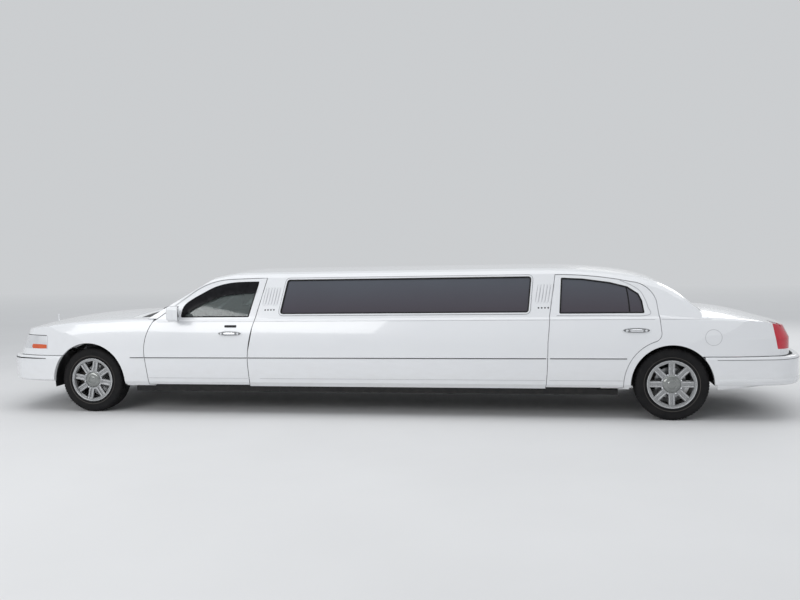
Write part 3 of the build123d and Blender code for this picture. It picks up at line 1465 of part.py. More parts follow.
finish(seats, "seats")

# Partition behind the driver and the cabinet along the left wall
with BuildPart() as cabin_fittings:
    add(rounded_slab(LOUNGE_X, LOUNGE_X + 1700, -850, -520, FLOOR_TOP, 860, 20))
    with BuildSketch(Plane.YZ.offset(FRONT_AXLE_X + 2020)):
        with BuildLine():
            Polyline((0, FLOOR_TOP), (-880, FLOOR_TOP), (-880, 1000), (-745, 1400), (0, 1400))
            mirror(about=Plane.YZ)
        make_face()
        with Locations((0, 1160)):
            RectangleRounded(1100, 330, 40, mode=Mode.SUBTRACT)
    extrude(amount=30)
finish(cabin_fittings, "cabin_fittings")
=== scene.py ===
import json
import math

import bmesh
import bpy
from mathutils import Matrix, Vector
from mathutils.bvhtree import BVHTree


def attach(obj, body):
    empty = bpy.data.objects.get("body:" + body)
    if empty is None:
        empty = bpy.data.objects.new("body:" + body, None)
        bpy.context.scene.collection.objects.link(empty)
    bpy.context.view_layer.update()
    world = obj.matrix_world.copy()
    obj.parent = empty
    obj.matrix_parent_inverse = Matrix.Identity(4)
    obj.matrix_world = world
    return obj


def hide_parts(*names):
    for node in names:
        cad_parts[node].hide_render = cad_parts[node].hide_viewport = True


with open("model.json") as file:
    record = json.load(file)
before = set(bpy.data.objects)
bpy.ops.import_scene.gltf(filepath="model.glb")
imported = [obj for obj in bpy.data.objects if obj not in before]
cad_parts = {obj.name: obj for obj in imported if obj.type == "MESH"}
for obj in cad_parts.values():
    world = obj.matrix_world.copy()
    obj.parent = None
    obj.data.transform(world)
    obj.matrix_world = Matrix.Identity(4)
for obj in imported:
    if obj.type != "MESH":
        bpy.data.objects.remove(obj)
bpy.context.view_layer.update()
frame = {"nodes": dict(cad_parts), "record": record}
nodes = frame["nodes"]

# Places in metres: X from nose to tail, the left side at minus Y
FRONT_AXLE_X = -3.099
REAR_AXLE_X = 2.939
AXLE_Z = 0.349
FRONT_TRACK = 1.610
REAR_TRACK = 1.664
SIDES = (("left", 1), ("right", -1))

# Wheel houses: radius of each arch, and how far out their inner faces reach
FRONT_ARCH = 0.424
REAR_ARCH = 0.401
ARCH_HALF = 0.941

# Rooms behind the bumpers: start and end along X from the middle, half width, top
BUMPER_ROOM_X = (3.20, 3.86)
BUMPER_ROOM_HALF = 0.860
BUMPER_ROOM_TOP = 0.580

# Heights of the lines along the sides and round the bumpers
MOULDING_Z = 0.6125
# Painted shadow: the black line just under the moulding stands for its shadow
MOULDING_SHADOW_Z = 0.6020
# The belt and sill lines are pale grey painted shade along the body's creases
BELT_LINE_Z = 0.978
SILL_CREASE_Z = 0.386
BUMPER_STRIP_Z = 0.590
BUMPER_ROLL_Z = 0.392

# Where colours change: road dust and the glass's painted sky reflection between two heights, the cowl behind
# the hood, and the tyre's lighter ring between two radii
DUST_TOP_Z = 0.62
DUST_FOOT_Z = 0.28
SKY_REFLECTION_FOOT_Z = 1.08
SKY_REFLECTION_TOP_Z = 1.40
HOOD_END_X = -2.545
SIDEWALL_LINE = (0.2590, 0.2622)
BACKDROP = (0.60, 0.615, 0.63, 1)

# Where rays start, outside the car
BEYOND_SIDE = 2.0
BEYOND_END = 6.0
ABOVE_ROOF = 2.0

# Camera at the photograph's place, with its turns in radians
CAMERA_PLACE = (1.6311, -8.86613, 1.680)
CAMERA_YAW = -0.16507
CAMERA_PITCH = -0.06121
CAMERA_ROLL = -0.01979
CAMERA_LENS = 36.0
SENSOR_WIDTH = 36.0
FARTHEST_SEEN = 200.0


def new_object(name, data):
    """Object in the scene with a mesh, a lamp's or a camera's data."""
    made = bpy.data.objects.new(name, data)
    bpy.context.scene.collection.objects.link(made)
    return made


def make_camera():
    flat = math.cos(CAMERA_PITCH)
    forward = Vector((math.sin(CAMERA_YAW) * flat, math.cos(CAMERA_YAW) * flat, math.sin(CAMERA_PITCH)))
    level = Vector((math.cos(CAMERA_YAW), -math.sin(CAMERA_YAW), 0))
    upright = level.cross(forward)
    right = level * math.cos(CAMERA_ROLL) + upright * math.sin(CAMERA_ROLL)
    up = -level * math.sin(CAMERA_ROLL) + upright * math.cos(CAMERA_ROLL)
    data = bpy.data.cameras.new("camera")
    data.lens = CAMERA_LENS
    data.sensor_width = SENSOR_WIDTH
    data.clip_end = FARTHEST_SEEN
    camera = new_object("camera", data)
    turn = Matrix((right, up, -forward)).transposed().to_4x4()
    camera.matrix_world = Matrix.Translation(CAMERA_PLACE) @ turn
    bpy.context.scene.camera = camera


# Node helpers
def set_inputs(node, **values):
    """Values for a node's inputs; an underscore stands for a space in their names."""
    for key, value in values.items():
        node.inputs[key.replace("_", " ")].default_value = value
    return node


class Shader:
    """One procedural material: a Principled shader and the nodes that feed it."""

    def __init__(self, name, **values):
        self.mat = bpy.data.materials.new(name)
        self.mat.use_nodes = True
        self.tree = self.mat.node_tree
        self.bsdf = self.tree.nodes["Principled BSDF"]
        self.coords = self.tree.nodes.new("ShaderNodeTexCoord").outputs["Object"]
        set_inputs(self.bsdf, **values)

    def node(self, kind, **values):
        made = self.tree.nodes.new(kind)
        for key, value in values.items():
            setattr(made, key, value)
        return made

    def link(self, a, b):
        self.tree.links.new(a, b)

    def noise(self, scale, detail=3.0, stretch=(1, 1, 1)):
        place = set_inputs(self.node("ShaderNodeMapping"), Scale=stretch)
        self.link(self.coords, place.inputs["Vector"])
        made = set_inputs(self.node("ShaderNodeTexNoise"), Scale=scale, Detail=detail)
        self.link(place.outputs["Vector"], made.inputs["Vector"])
        return made.outputs["Fac"]

    def bands(self, scale, direction):
        made = set_inputs(self.node("ShaderNodeTexWave", bands_direction=direction), Scale=scale)
        self.link(self.coords, made.inputs["Vector"])
        return made.outputs["Fac"]

    def remap(self, value, from_low, from_high, to_low, to_high):
        made = self.node("ShaderNodeMapRange")
        set_inputs(made, From_Min=from_low, From_Max=from_high, To_Min=to_low, To_Max=to_high)
        self.link(value, made.inputs["Value"])
        return made.outputs["Result"]

    def calc(self, operation, *values):
        """Result of a math node."""
        made = self.node("ShaderNodeMath", operation=operation)
        for value, socket in zip(values, made.inputs):
            self.link(value, socket)
        return made.outputs["Value"]

    def times(self, a, b):
        return self.calc("MULTIPLY", a, b)

    def plus(self, a, b):
        return self.calc("ADD", a, b)

    def size_of(self, value):
        return self.calc("ABSOLUTE", value)

    def axis(self, name):
        """One coordinate, in metres."""
        split = self.node("ShaderNodeSeparateXYZ")
        self.link(self.coords, split.inputs["Vector"])
        return split.outputs[name]

    def height(self, low, high):
        """0 at one height and 1 at another, with a slope between them."""
        return self.remap(self.axis("Z"), low, high, 0.0, 1.0)

    def above(self, value, limit, soft=0.002):
        """0 below a limit, 1 above it."""
        return self.remap(value, limit - soft, limit + soft, 0.0, 1.0)

    def below(self, value, limit, soft=0.002):
        """1 below a limit, 0 above it."""
        return self.remap(value, limit - soft, limit + soft, 1.0, 0.0)

    def band(self, value, low, high, soft=0.001):
        """1 between two values, 0 outside."""
        return self.times(self.above(value, low, soft), self.below(value, high, soft))

    def from_axle(self, axle_x):
        """Distance from an axle's line."""
        place = self.node("ShaderNodeCombineXYZ")
        self.link(self.axis("X"), place.inputs["X"])
        self.link(self.axis("Z"), place.inputs["Z"])
        far = self.node("ShaderNodeVectorMath", operation="DISTANCE")
        far.inputs[1].default_value = (axle_x, 0.0, AXLE_Z)
        self.link(place.outputs["Vector"], far.inputs[0])
        return far.outputs["Value"]

    def unpainted(self):
        """1 on the inner faces of the wheel houses and bumpers, 0 on the outer skin."""
        reach = self.size_of(self.axis("Y"))
        front = self.below(self.from_axle(FRONT_AXLE_X), FRONT_ARCH)
        rear = self.below(self.from_axle(REAR_AXLE_X), REAR_ARCH)
        houses = self.times(self.plus(front, rear), self.below(reach, ARCH_HALF, 0.0015))
        rooms = self.band(self.size_of(self.axis("X")), *BUMPER_ROOM_X)
        rooms = self.times(rooms, self.below(reach, BUMPER_ROOM_HALF))
        rooms = self.times(rooms, self.below(self.axis("Z"), BUMPER_ROOM_TOP, 0.005))
        return self.plus(houses, rooms)

    def ramp(self, value, stops):
        made = self.node("ShaderNodeValToRGB")
        band = made.color_ramp
        while len(band.elements) < len(stops):
            band.elements.new(0.5)
        for element, (place, colour) in zip(band.elements, stops):
            element.position = place
            element.color = (*colour, 1)
        self.link(value, made.inputs["Fac"])
        return made.outputs["Color"]

    def mix(self, factor, a, b):
        made = self.node("ShaderNodeMix", data_type="RGBA")
        self.link(factor, made.inputs["Factor"])
        for value, name in ((a, "A"), (b, "B")):
            socket = [s for s in made.inputs if s.name == name and s.type == "RGBA"][0]
            if isinstance(value, tuple):
                socket.default_value = (*value, 1)
            else:
                self.link(value, socket)
        return [s for s in made.outputs if s.type == "RGBA"][0]

    def colour(self, value):
        self.link(value, self.bsdf.inputs["Base Color"])

    def rough(self, value):
        self.link(value, self.bsdf.inputs["Roughness"])

    def bump(self, value, strength, distance):
        made = set_inputs(self.node("ShaderNodeBump"), Strength=strength, Distance=distance)
        self.link(value, made.inputs["Height"])
        self.link(made.outputs["Normal"], self.bsdf.inputs["Normal"])


def speckled(name, dark, light, rough, scale=40.0, bump=0.2, distance=0.0005, **values):
    """Material with a fine mottled colour, roughness and relief."""
    s = Shader(name, **values)
    grain = s.noise(scale, 5.0)
    s.colour(s.ramp(grain, [(0.3, dark), (0.7, light)]))
    s.rough(s.remap(grain, 0.3, 0.7, rough - 0.04, rough + 0.04))
    s.bump(s.noise(scale * 8, 4.0), bump, distance)
    return s.mat


def paint_material():
    s = Shader("paint_white", Coat_Weight=1.0, Coat_Roughness=0.04, IOR=1.5)
    cloud = s.noise(0.7, 4.0)
    clean = s.ramp(cloud, [(0.3, (0.780, 0.792, 0.812)), (0.7, (0.802, 0.812, 0.828))])
    film = s.noise(9.0, 6.0, (1, 1, 3))
    low = s.height(DUST_TOP_Z, DUST_FOOT_Z)
    dust = s.times(low, s.remap(film, 0.35, 0.75, 0.02, 0.24))
    finish = s.mix(dust, clean, (0.60, 0.58, 0.54))
    arch = s.unpainted()
    s.colour(s.mix(arch, finish, (0.006, 0.006, 0.007)))
    s.rough(s.remap(s.plus(dust, arch), 0.0, 1.0, 0.22, 0.55))
    s.bump(s.noise(260.0, 2.0), 0.05, 0.0002)
    return s.mat


def glass_material(name, low, high, transmission):
    """Glass that turns lighter and bluer from the belt up to the roof rail, a painted reflection of the sky."""
    s = Shader(name, IOR=1.45, Transmission_Weight=transmission, Coat_Weight=0.5, Coat_Roughness=0.02)
    # Painted reflection: the sky's light, mottled, painted into the glass's colour towards the top
    up = s.times(s.height(SKY_REFLECTION_FOOT_Z, SKY_REFLECTION_TOP_Z), s.remap(s.noise(1.6, 3.0), 0.3, 0.75, 0.75, 1.0))
    s.colour(s.mix(up, low, high))
    s.rough(s.remap(s.noise(30.0, 6.0), 0.3, 0.8, 0.015, 0.06))
    return s.mat


def lamp_material(name, dark, light, transmission, ribs, direction):
    s = Shader(name, IOR=1.45, Transmission_Weight=transmission, Coat_Weight=0.3, Coat_Roughness=0.03)
    s.colour(s.ramp(s.noise(6.0, 3.0), [(0.3, dark), (0.7, light)]))
    s.rough(s.remap(s.noise(50.0, 4.0), 0.3, 0.7, 0.03, 0.10))
    s.bump(s.bands(ribs, direction), 0.12, 0.001)
    return s.mat


def alloy_material():
    s = Shader("alloy", Metallic=0.85, Coat_Weight=0.5, Coat_Roughness=0.06)
    grain = s.noise(60.0, 6.0, (1, 6, 1))
    s.colour(s.ramp(grain, [(0.3, (0.30, 0.305, 0.31)), (0.7, (0.42, 0.425, 0.43))]))
    s.rough(s.remap(grain, 0.2, 0.8, 0.22, 0.36))
    s.bump(s.noise(900.0, 2.0), 0.04, 0.0001)
    return s.mat


def rubber_material():
    s = Shader("tyre_rubber", Specular_IOR_Level=0.2)
    dust = s.noise(14.0, 6.0)
    black = s.ramp(dust, [(0.35, (0.007, 0.007, 0.008)), (0.8, (0.018, 0.017, 0.017))])
    line = s.plus(*[s.band(s.from_axle(x), *SIDEWALL_LINE) for x in (FRONT_AXLE_X, REAR_AXLE_X)])
    s.colour(s.mix(line, black, (0.115, 0.105, 0.095)))
    s.rough(s.remap(dust, 0.3, 0.8, 0.62, 0.85))
    s.bump(s.noise(220.0, 4.0), 0.25, 0.0006)
    return s.mat


def cowl_material():
    """Painted up to the hood's edge, black plastic behind it."""
    s = Shader("cowl", Specular_IOR_Level=0.3)
    behind = s.above(s.axis("X"), HOOD_END_X, 0.003)
    grain = s.ramp(s.noise(60.0, 5.0), [(0.3, (0.006, 0.006, 0.007)), (0.7, (0.014, 0.014, 0.015))])
    s.colour(s.mix(behind, (0.79, 0.80, 0.805), grain))
    s.rough(s.remap(s.noise(40.0, 3.0), 0.3, 0.7, 0.35, 0.5))
    return s.mat


def leather_material():
    s = Shader("seat_leather", Coat_Weight=0.15, Coat_Roughness=0.3)
    cells = set_inputs(s.node("ShaderNodeTexVoronoi", feature="DISTANCE_TO_EDGE"), Scale=420.0)
    s.link(s.coords, cells.inputs["Vector"])
    s.colour(s.ramp(s.noise(5.0, 4.0), [(0.3, (0.10, 0.10, 0.105)), (0.75, (0.17, 0.165, 0.16))]))
    s.rough(s.remap(s.noise(30.0, 4.0), 0.3, 0.7, 0.42, 0.58))
    s.bump(s.remap(cells.outputs["Distance"], 0.0, 0.12, 0.0, 1.0), 0.3, 0.0006)
    return s.mat


def wood_material():
    s = Shader("cabinet_wood", Coat_Weight=0.8, Coat_Roughness=0.08)
    grain = s.noise(4.0, 8.0, (1, 9, 9))
    s.colour(s.ramp(grain, [(0.3, (0.035, 0.016, 0.009)), (0.55, (0.10, 0.05, 0.025)),
                            (0.8, (0.16, 0.085, 0.04))]))
    s.rough(s.remap(grain, 0.3, 0.8, 0.25, 0.4))
    s.bump(grain, 0.1, 0.0005)
    return s.mat


MATS = {
    "white_paint": paint_material(),
    "black_frame": speckled("frame_black", (0.008, 0.008, 0.009), (0.022, 0.021, 0.02), 0.62, 30.0, 0.3,
                            Specular_IOR_Level=0.3),
    "tinted_glass": glass_material("glass_tinted", (0.062, 0.053, 0.070), (0.092, 0.106, 0.130), 0.2),
    "clear_glass": glass_material("glass_clear", (0.36, 0.42, 0.41), (0.40, 0.48, 0.47), 0.85),
    "lamp_clear": lamp_material("lamp_clear", (0.66, 0.67, 0.69), (0.82, 0.83, 0.85), 0.15, 14.0, "X"),
    "lamp_red": lamp_material("lamp_red", (0.50, 0.018, 0.035), (0.66, 0.035, 0.060), 0.05, 22.0, "Z"),
    "bright_metal": speckled("bright_metal", (0.70, 0.71, 0.73), (0.82, 0.83, 0.85), 0.12, 12.0, 0.02,
                             Metallic=1.0),
    "black_plastic": speckled("plastic_black", (0.008, 0.008, 0.009), (0.020, 0.020, 0.022), 0.5, 60.0, 0.25,
                              Specular_IOR_Level=0.3),
    "alloy": alloy_material(),
    "tyre": rubber_material(),
    "iron": speckled("cast_iron", (0.05, 0.045, 0.042), (0.13, 0.115, 0.10), 0.7, 25.0, 0.5, 0.001,
                     Metallic=0.6),
    "steel": speckled("pipe_steel", (0.20, 0.19, 0.18), (0.36, 0.34, 0.32), 0.45, 18.0, 0.2, Metallic=0.9),
    "engine_iron": speckled("engine_iron", (0.05, 0.05, 0.052), (0.15, 0.15, 0.155), 0.55, 22.0, 0.4,
                            Metallic=0.5),
    "trim_grey": speckled("trim_grey", (0.13, 0.13, 0.135), (0.19, 0.19, 0.195), 0.55, 90.0, 0.3),
    "upholstery": leather_material(),
    "cabinet_wood": wood_material(),
}


for part in frame["record"]["subparts"]:
    target = nodes[part["node"]]
    target.data.materials.clear()
    target.data.materials.append(MATS[part["material_slot"]])
nodes["cowl_panel"].data.materials[0] = cowl_material()

# Search trees of the panels that the pieces are seated on
search_trees = {}


def search_tree(node):
    if node not in search_trees:
        mesh = nodes[node].data
        points = [v.co[:] for v in mesh.vertices]
        search_trees[node] = BVHTree.FromPolygons(points, [tuple(p.vertices) for p in mesh.polygons])
    return search_trees[node]


def seat_on(start, aim, *names):
    """Place and outward normal where a ray first meets some nodes, or None."""
    best, nearest = None, math.inf
    for name in names:
        place, normal, _, reach = search_tree(name).ray_cast(Vector(start), Vector(aim))
        if place is not None and reach < nearest:
            best, nearest = (place, -normal if normal.dot(Vector(aim)) > 0 else normal), reach
    return best


def skin(x, z, *names):
    """Point of the left side's skin and its normal."""
    return seat_on((x, -BEYOND_SIDE, z), (0, 1, 0), *names)


# The upper wall is one leaning plane, from the belt to the roof rail
WALL_FOOT = Vector((0, -0.921, 1.012))
WALL_LEAN = 0.334
WALL_OUT = Vector((0, -1, WALL_LEAN)).normalized()
OUTWARD = Vector((0, -1, 0))


def wall(x, z, out=0.0):
    """Point of the left upper wall's skin, moved outward."""
    return Vector((x, WALL_FOOT.y + WALL_LEAN * (z - WALL_FOOT.z), z)) + WALL_OUT * out


# Mesh helpers
def make(name, bm, body, look, sharp=35.0):
    """Turns a mesh into a piece that rides on a body; a look is a material and a slot's name, and the slot's
    name is not used.

    Edges over an angle in degrees stay sharp.
    """
    material, slot_name = look
    bmesh.ops.recalc_face_normals(bm, faces=bm.faces)
    for face in bm.faces:
        face.smooth = True
    for edge in bm.edges:
        if len(edge.link_faces) == 2:
            edge.smooth = edge.calc_face_angle() < math.radians(sharp)
    mesh = bpy.data.meshes.new(name)
    bm.to_mesh(mesh)
    bm.free()
    mesh.materials.append(material)
    piece = new_object(name, mesh)
    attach(piece, body)
    return piece


def single(name, body, draw, look, sign=1, sharp=35.0):
    """A piece drawn on the left side, mirrored for a sign of -1."""
    bm = bmesh.new()
    draw(bm)
    bmesh.ops.scale(bm, vec=(1, sign, 1), verts=bm.verts)
    return make(name, bm, body, look, sharp)


def pair(name, body, draw, look):
    """The same piece on the left and mirrored on the right; {} in the body's name is the side."""
    for label, sign in SIDES:
        single(f"{name}_{label}", body.format(label), draw, look, sign)


def circle(count):
    """Cosine and sine of evenly spaced turns."""
    return [(math.cos(2 * math.pi * k / count), math.sin(2 * math.pi * k / count)) for k in range(count)]


def spread(start, end, steps):
    """Evenly spaced values from start to end."""
    return [start + (end - start) * k / steps for k in range(steps + 1)]


def join(bm, rows, around=True):
    """Faces between rows of points; each row closes on itself, or is open."""
    for a, b in zip(rows, rows[1:]):
        for k in range(len(a) if around else len(a) - 1):
            m = (k + 1) % len(a)
            bm.faces.new((a[k], a[m], b[m], b[k]))


def ends(bm, rings):
    """Faces over the first and the last ring."""
    bm.faces.new(rings[0])
    bm.faces.new(list(reversed(rings[-1])))


def thicken(bm, thickness):
    bmesh.ops.recalc_face_normals(bm, faces=bm.faces)
    bmesh.ops.solidify(bm, geom=bm.faces[:], thickness=thickness)


def sheet(bm, rows, thickness):
    """Thin open sheet through rows of places."""
    join(bm, [[bm.verts.new(place) for place in row] for row in rows], around=False)
    thicken(bm, thickness)


def bar(width, height, depth=0.002):
    """Section of a strip: flat top, eased edges, its foot sunk by a depth."""
    half, crest, shoulder = width / 2, width * 0.35, height * 0.5
    left = [(-half, -depth), (-half, shoulder), (-crest, height)]
    return left + [(-u, v) for u, v in reversed(left)]


def ribbon(bm, path, normals, section, closed=False, swell=None):
    """Section swept along a path on a surface, with a normal for each point or one for all."""
    if isinstance(normals, Vector):
        normals = [normals] * len(path)
    rings = []
    last = len(path) - 1
    for i, (point, normal) in enumerate(zip(path, normals)):
        before = path[i - 1] if closed or i else point
        after = path[(i + 1) % len(path)] if closed or i < last else point
        along = (after - before).normalized()
        across = along.cross(normal).normalized()
        out = across.cross(along)
        size = swell(i / last) if swell else 1.0
        rings.append([bm.verts.new(point + across * u * size + out * v) for u, v in section])
    if closed:
        join(bm, rings + rings[:1])
    else:
        join(bm, rings)
        ends(bm, rings)


def seated_ribbon(bm, hits, weights, section, **options):
    """Ribbon along places with normals, whose X, Y and Z the weights scale; rays that missed are left out."""
    hits = [hit for hit in hits if hit]
    normals = [Vector([n * w for n, w in zip(normal, weights)]).normalized() for _, normal in hits]
    ribbon(bm, [place for place, _ in hits], normals, section, **options)


def lathe(bm, profile, centre, segments, press=None):
    """Closed profile of (y, radius) turned about the axle; press(y, r, i) may move a point."""
    rings = []
    for i, (ahead, up) in enumerate(circle(segments)):
        ring = []
        for y, r in profile:
            if press:
                r = press(y, r, i)
            ring.append(bm.verts.new((centre.x + r * ahead, centre.y + y, centre.z + r * up)))
        rings.append(ring)
    join(bm, rings + rings[:1])


def dome(bm, centre, axis, radius, height, segments=16, rows=4):
    """Low dome on a surface."""
    axis = axis.normalized()
    first = axis.orthogonal().normalized()
    second = axis.cross(first)
    rings = []
    for row in range(rows):
        tilt = math.pi / 2 * row / rows
        ring = []
        for u, v in circle(segments):
            flat = first * u + second * v
            ring.append(bm.verts.new(centre + flat * radius * math.cos(tilt) + axis * height * math.sin(tilt)))
        rings.append(ring)
    join(bm, rings)
    ends(bm, rings)


def rounded(points, radius, steps=5):
    """Closed outline with rounded corners."""
    out = []
    for i, corner in enumerate(points):
        corner = Vector(corner)
        back = Vector(points[i - 1]) - corner
        ahead = Vector(points[(i + 1) % len(points)]) - corner
        reach = min(radius / math.tan(back.angle(ahead) / 2), back.length * 0.45, ahead.length * 0.45)
        start = corner + back.normalized() * reach
        end = corner + ahead.normalized() * reach
        for t in spread(0, 1, steps):
            out.append(start * (1 - t) ** 2 + corner * 2 * t * (1 - t) + end * t ** 2)
    return out


def shift(loop, amount):
    """Closed outline moved outward, or inward for a negative amount."""
    count = len(loop)
    area = sum(loop[i].x * loop[(i + 1) % count].y - loop[(i + 1) % count].x * loop[i].y for i in range(count))
    out = []
    for i, point in enumerate(loop):
        along = (loop[(i + 1) % count] - loop[i - 1]).normalized()
        outward = Vector((along.y, -along.x)) * (1 if area > 0 else -1)
        out.append(point + outward * amount)
    return out


# Windows on the left side, in side view; F and R are the axles
F = FRONT_AXLE_X
R = REAR_AXLE_X
FRONT_WINDOW = rounded([(F + 1.050, 1.022), (F + 1.092, 1.164), (F + 1.303, 1.289), (F + 1.450, 1.351),
                        (F + 1.632, 1.381), (F + 1.891, 1.386), (F + 1.801, 1.022)], 0.014)
REAR_WINDOW = rounded([(R - 1.056, 1.036), (R - 1.034, 1.386), (R - 0.824, 1.374), (R - 0.569, 1.337),
                       (R - 0.402, 1.293), (R - 0.300, 1.225), (R - 0.267, 1.155), (R - 0.249, 1.036)], 0.014)
STRETCH_WINDOW = rounded([(F + 2.134, 1.050), (F + 2.198, 1.402), (R - 1.320, 1.402), (R - 1.353, 1.050)],
                         0.034)


def window_strip(outline, offset, section, out=0.0):
    """Strip round a window, that far outside its opening."""
    def draw(bm):
        path = [wall(p.x, p.y, out) for p in shift(outline, offset)]
        ribbon(bm, path, WALL_OUT, section, closed=True)
    return draw


def wall_strip(points, section, out=0.0):
    """Strip along points of the upper wall, in side view."""
    def draw(bm):
        ribbon(bm, [wall(x, z, out) for x, z in points], WALL_OUT, section)
    return draw


# Looks: a material and the name of a slot
PAINT, CHROME, PLASTIC, TYRE_RUBBER, LEATHER = [
    (MATS[name], name) for name in ("white_paint", "bright_metal", "black_plastic", "tyre", "upholstery")
]
# Black rubber of the seals and strips; the same black is painted under the side moulding as its shadow
RUBBER_AND_SHADOW = (speckled("seal_rubber_and_painted_shadow", (0.006, 0.006, 0.007), (0.016, 0.015, 0.015), 0.55, 60.0, 0.25,
                   Specular_IOR_Level=0.2), "black_plastic")
SEAM = (speckled("seam_grey", (0.17, 0.17, 0.185), (0.25, 0.25, 0.265), 0.5, 30.0, 0.1), "black_plastic")
# Pale grey for shut lines and seals, and painted as shade along creases, the rear door's frame flange and
# between flutes
FAINT = (speckled("pale_seams_and_painted_shade", (0.40, 0.40, 0.42), (0.50, 0.50, 0.52), 0.5, 30.0, 0.1), "black_plastic")

# Seals in the openings, and the stretch window's raised frame
for name, outline, body in (
    ("front_window", FRONT_WINDOW, "front_door_{}"),
    ("rear_window", REAR_WINDOW, "rear_door_{}"),
    ("stretch_window", STRETCH_WINDOW, "body"),
):
    seal = window_strip(outline, offset=-0.006, section=bar(0.015, 0.005, depth=0.004), out=-0.004)
    pair(f"{name}_seal", body, seal, RUBBER_AND_SHADOW)
for name, offset, section, look in (
    ("stretch_window_frame", 0.008, bar(0.014, 0.0045), PAINT),
    ("stretch_window_edge", 0.017, bar(0.004, 0.002), SEAM),
):
    pair(name, "body", window_strip(STRETCH_WINDOW, offset, section), look)


def dense(points, steps=6):
    """Smooth open curve through points."""
    pts = [Vector(p) for p in points]
    out = []
    for i in range(len(pts) - 1):
        a = pts[max(i - 1, 0)]
        b, c = pts[i], pts[i + 1]
        d = pts[min(i + 2, len(pts) - 1)]
        for k in range(steps):
            t = k / steps
            bend = (2 * a - 5 * b + 4 * c - d) * t * t + (3 * b - a - 3 * c + d) * t ** 3
            out.append(0.5 * (2 * b + (c - a) * t + bend))
    out.append(pts[-1])
    return out


# Painted shade: a faint grey line along the edge of the rear door's frame flange, round the window
REAR_FRAME_SHADE = dense([(R - 1.082, 1.018), (R - 0.60, 1.016), (R - 0.222, 1.018), (R - 0.219, 1.10),
                    (R - 0.246, 1.18), (R - 0.288, 1.252), (R - 0.375, 1.310), (R - 0.47, 1.352)])
pair("rear_door_frame_line", "rear_door_{}", wall_strip(REAR_FRAME_SHADE, bar(0.006, 0.0022)), FAINT)

VISOR_TOP = dense([(F + 1.049, 1.032), (F + 1.089, 1.160), (F + 1.299, 1.288), (F + 1.449, 1.352),
                   (F + 1.631, 1.383), (F + 1.887, 1.388)])
VISOR_FOOT = dense([(F + 1.089, 1.030), (F + 1.174, 1.100), (F + 1.342, 1.182), (F + 1.489, 1.232),
                    (F + 1.629, 1.254), (F + 1.859, 1.270)])
VISOR_LIFT = 0.011


def visor(bm):
    """Tinted wind deflector along the front and top of the front window."""
    rows = []
    for top, foot in zip(VISOR_TOP, VISOR_FOOT):
        row = []
        for t in spread(0, 1, 6):
            mid = top.lerp(foot, t)
            lift = VISOR_LIFT * math.sin(min(t * 1.25, 1.0) * math.pi / 2)
            row.append(wall(mid.x, mid.y, 0.001 + lift))
        rows.append(row)
    sheet(bm, rows, 0.0025)


ACRYLIC = (speckled("visor_acrylic", (0.004, 0.004, 0.005), (0.010, 0.010, 0.012), 0.16, 20.0, 0.02,
                    Specular_IOR_Level=0.15), "tinted_glass")
pair("window_visor", "front_door_{}", visor, ACRYLIC)

# Upright bar between the rear door's panes
DIVISION = ((R - 0.387, 1.040), (R - 0.391, 1.12), (R - 0.401, 1.22), (R - 0.413, 1.290))
division = wall_strip(DIVISION, bar(0.012, 0.004, depth=0.0), out=-0.008)
pair("rear_window_division", "rear_door_{}", division, RUBBER_AND_SHADOW)


# Lines along the side, one length on each panel: its body, its node and the span that each line covers
PANELS = {
    "fender": ("body", "front_fenders"),
    "front_door": ("front_door_{}", "door_front_left"),
    "stretch": ("body", "stretch_panels"),
    "rear_door": ("rear_door_{}", "door_rear_left"),
    "quarter": ("body", "quarter_panels"),
}
MOULDING_SPANS = {"fender": (-2.610, -2.4535), "front_door": (-2.4425, -1.3085), "stretch": (-1.2955, 1.7515),
                  "rear_door": (1.7665, 2.5160)}
BELT_SPANS = {"front_door": (-2.300, -1.2420), "stretch": (-1.2260, 1.7830), "rear_door": (1.7960, 2.8260),
              "quarter": (2.8420, 3.300)}
SILL_SPANS = {"front_door": (-2.410, -1.309), "stretch": (-1.296, 1.741), "rear_door": (1.757, 2.480)}


def side_strip(node, start, end, z, section, steps=24):
    """Strip along the left side at a height."""
    def draw(bm):
        seated_ribbon(bm, [skin(x, z, node) for x in spread(start, end, steps)], (0.3, 1, 0), section)
    return draw


for line, spans, z, section, look in (
    ("moulding", MOULDING_SPANS, MOULDING_Z, bar(0.013, 0.005), PAINT),
    # the moulding's shadow, painted as a black strip under it
    ("moulding_shadow", MOULDING_SPANS, MOULDING_SHADOW_Z, bar(0.0080, 0.004), RUBBER_AND_SHADOW),
    # painted shade along the belt crease and the sill crease
    ("belt_shade_line", BELT_SPANS, BELT_LINE_Z, bar(0.0035, 0.0014), FAINT),
    ("sill_crease_shade", SILL_SPANS, SILL_CREASE_Z, bar(0.004, 0.0012), FAINT),
):
    for panel, (start, end) in spans.items():
        body, node = PANELS[panel]
        pair(f"{line}_{panel}", body, side_strip(node, start, end, z, section), look)


# Bumper lines; the rays fan out round the corner from a point inside the bumper
CORNER_X = 3.72
CORNER_Y = 0.50


def bumper_line(node, z, side_x, ahead, section, swell=None):
    """Left half of a line round a bumper, from its side over the corner to the middle."""
    def draw(bm):
        corner = Vector((ahead * CORNER_X, -CORNER_Y, z))
        hits = [skin(x, z, node) for x in spread(side_x, corner.x, 12)[:-1]]
        for turn in spread(0, math.pi / 2, 24):
            ray = Vector((ahead * math.sin(turn), -math.cos(turn), 0))
            hits.append(seat_on(corner + ray * BEYOND_SIDE, -ray, node))
        for y in spread(-CORNER_Y, 0, 12)[1:]:
            hits.append(seat_on((ahead * BEYOND_END, y, z), (-ahead, 0, 0), node))
        seated_ribbon(bm, hits, (1, 1, 0), section, swell=swell)
    return draw


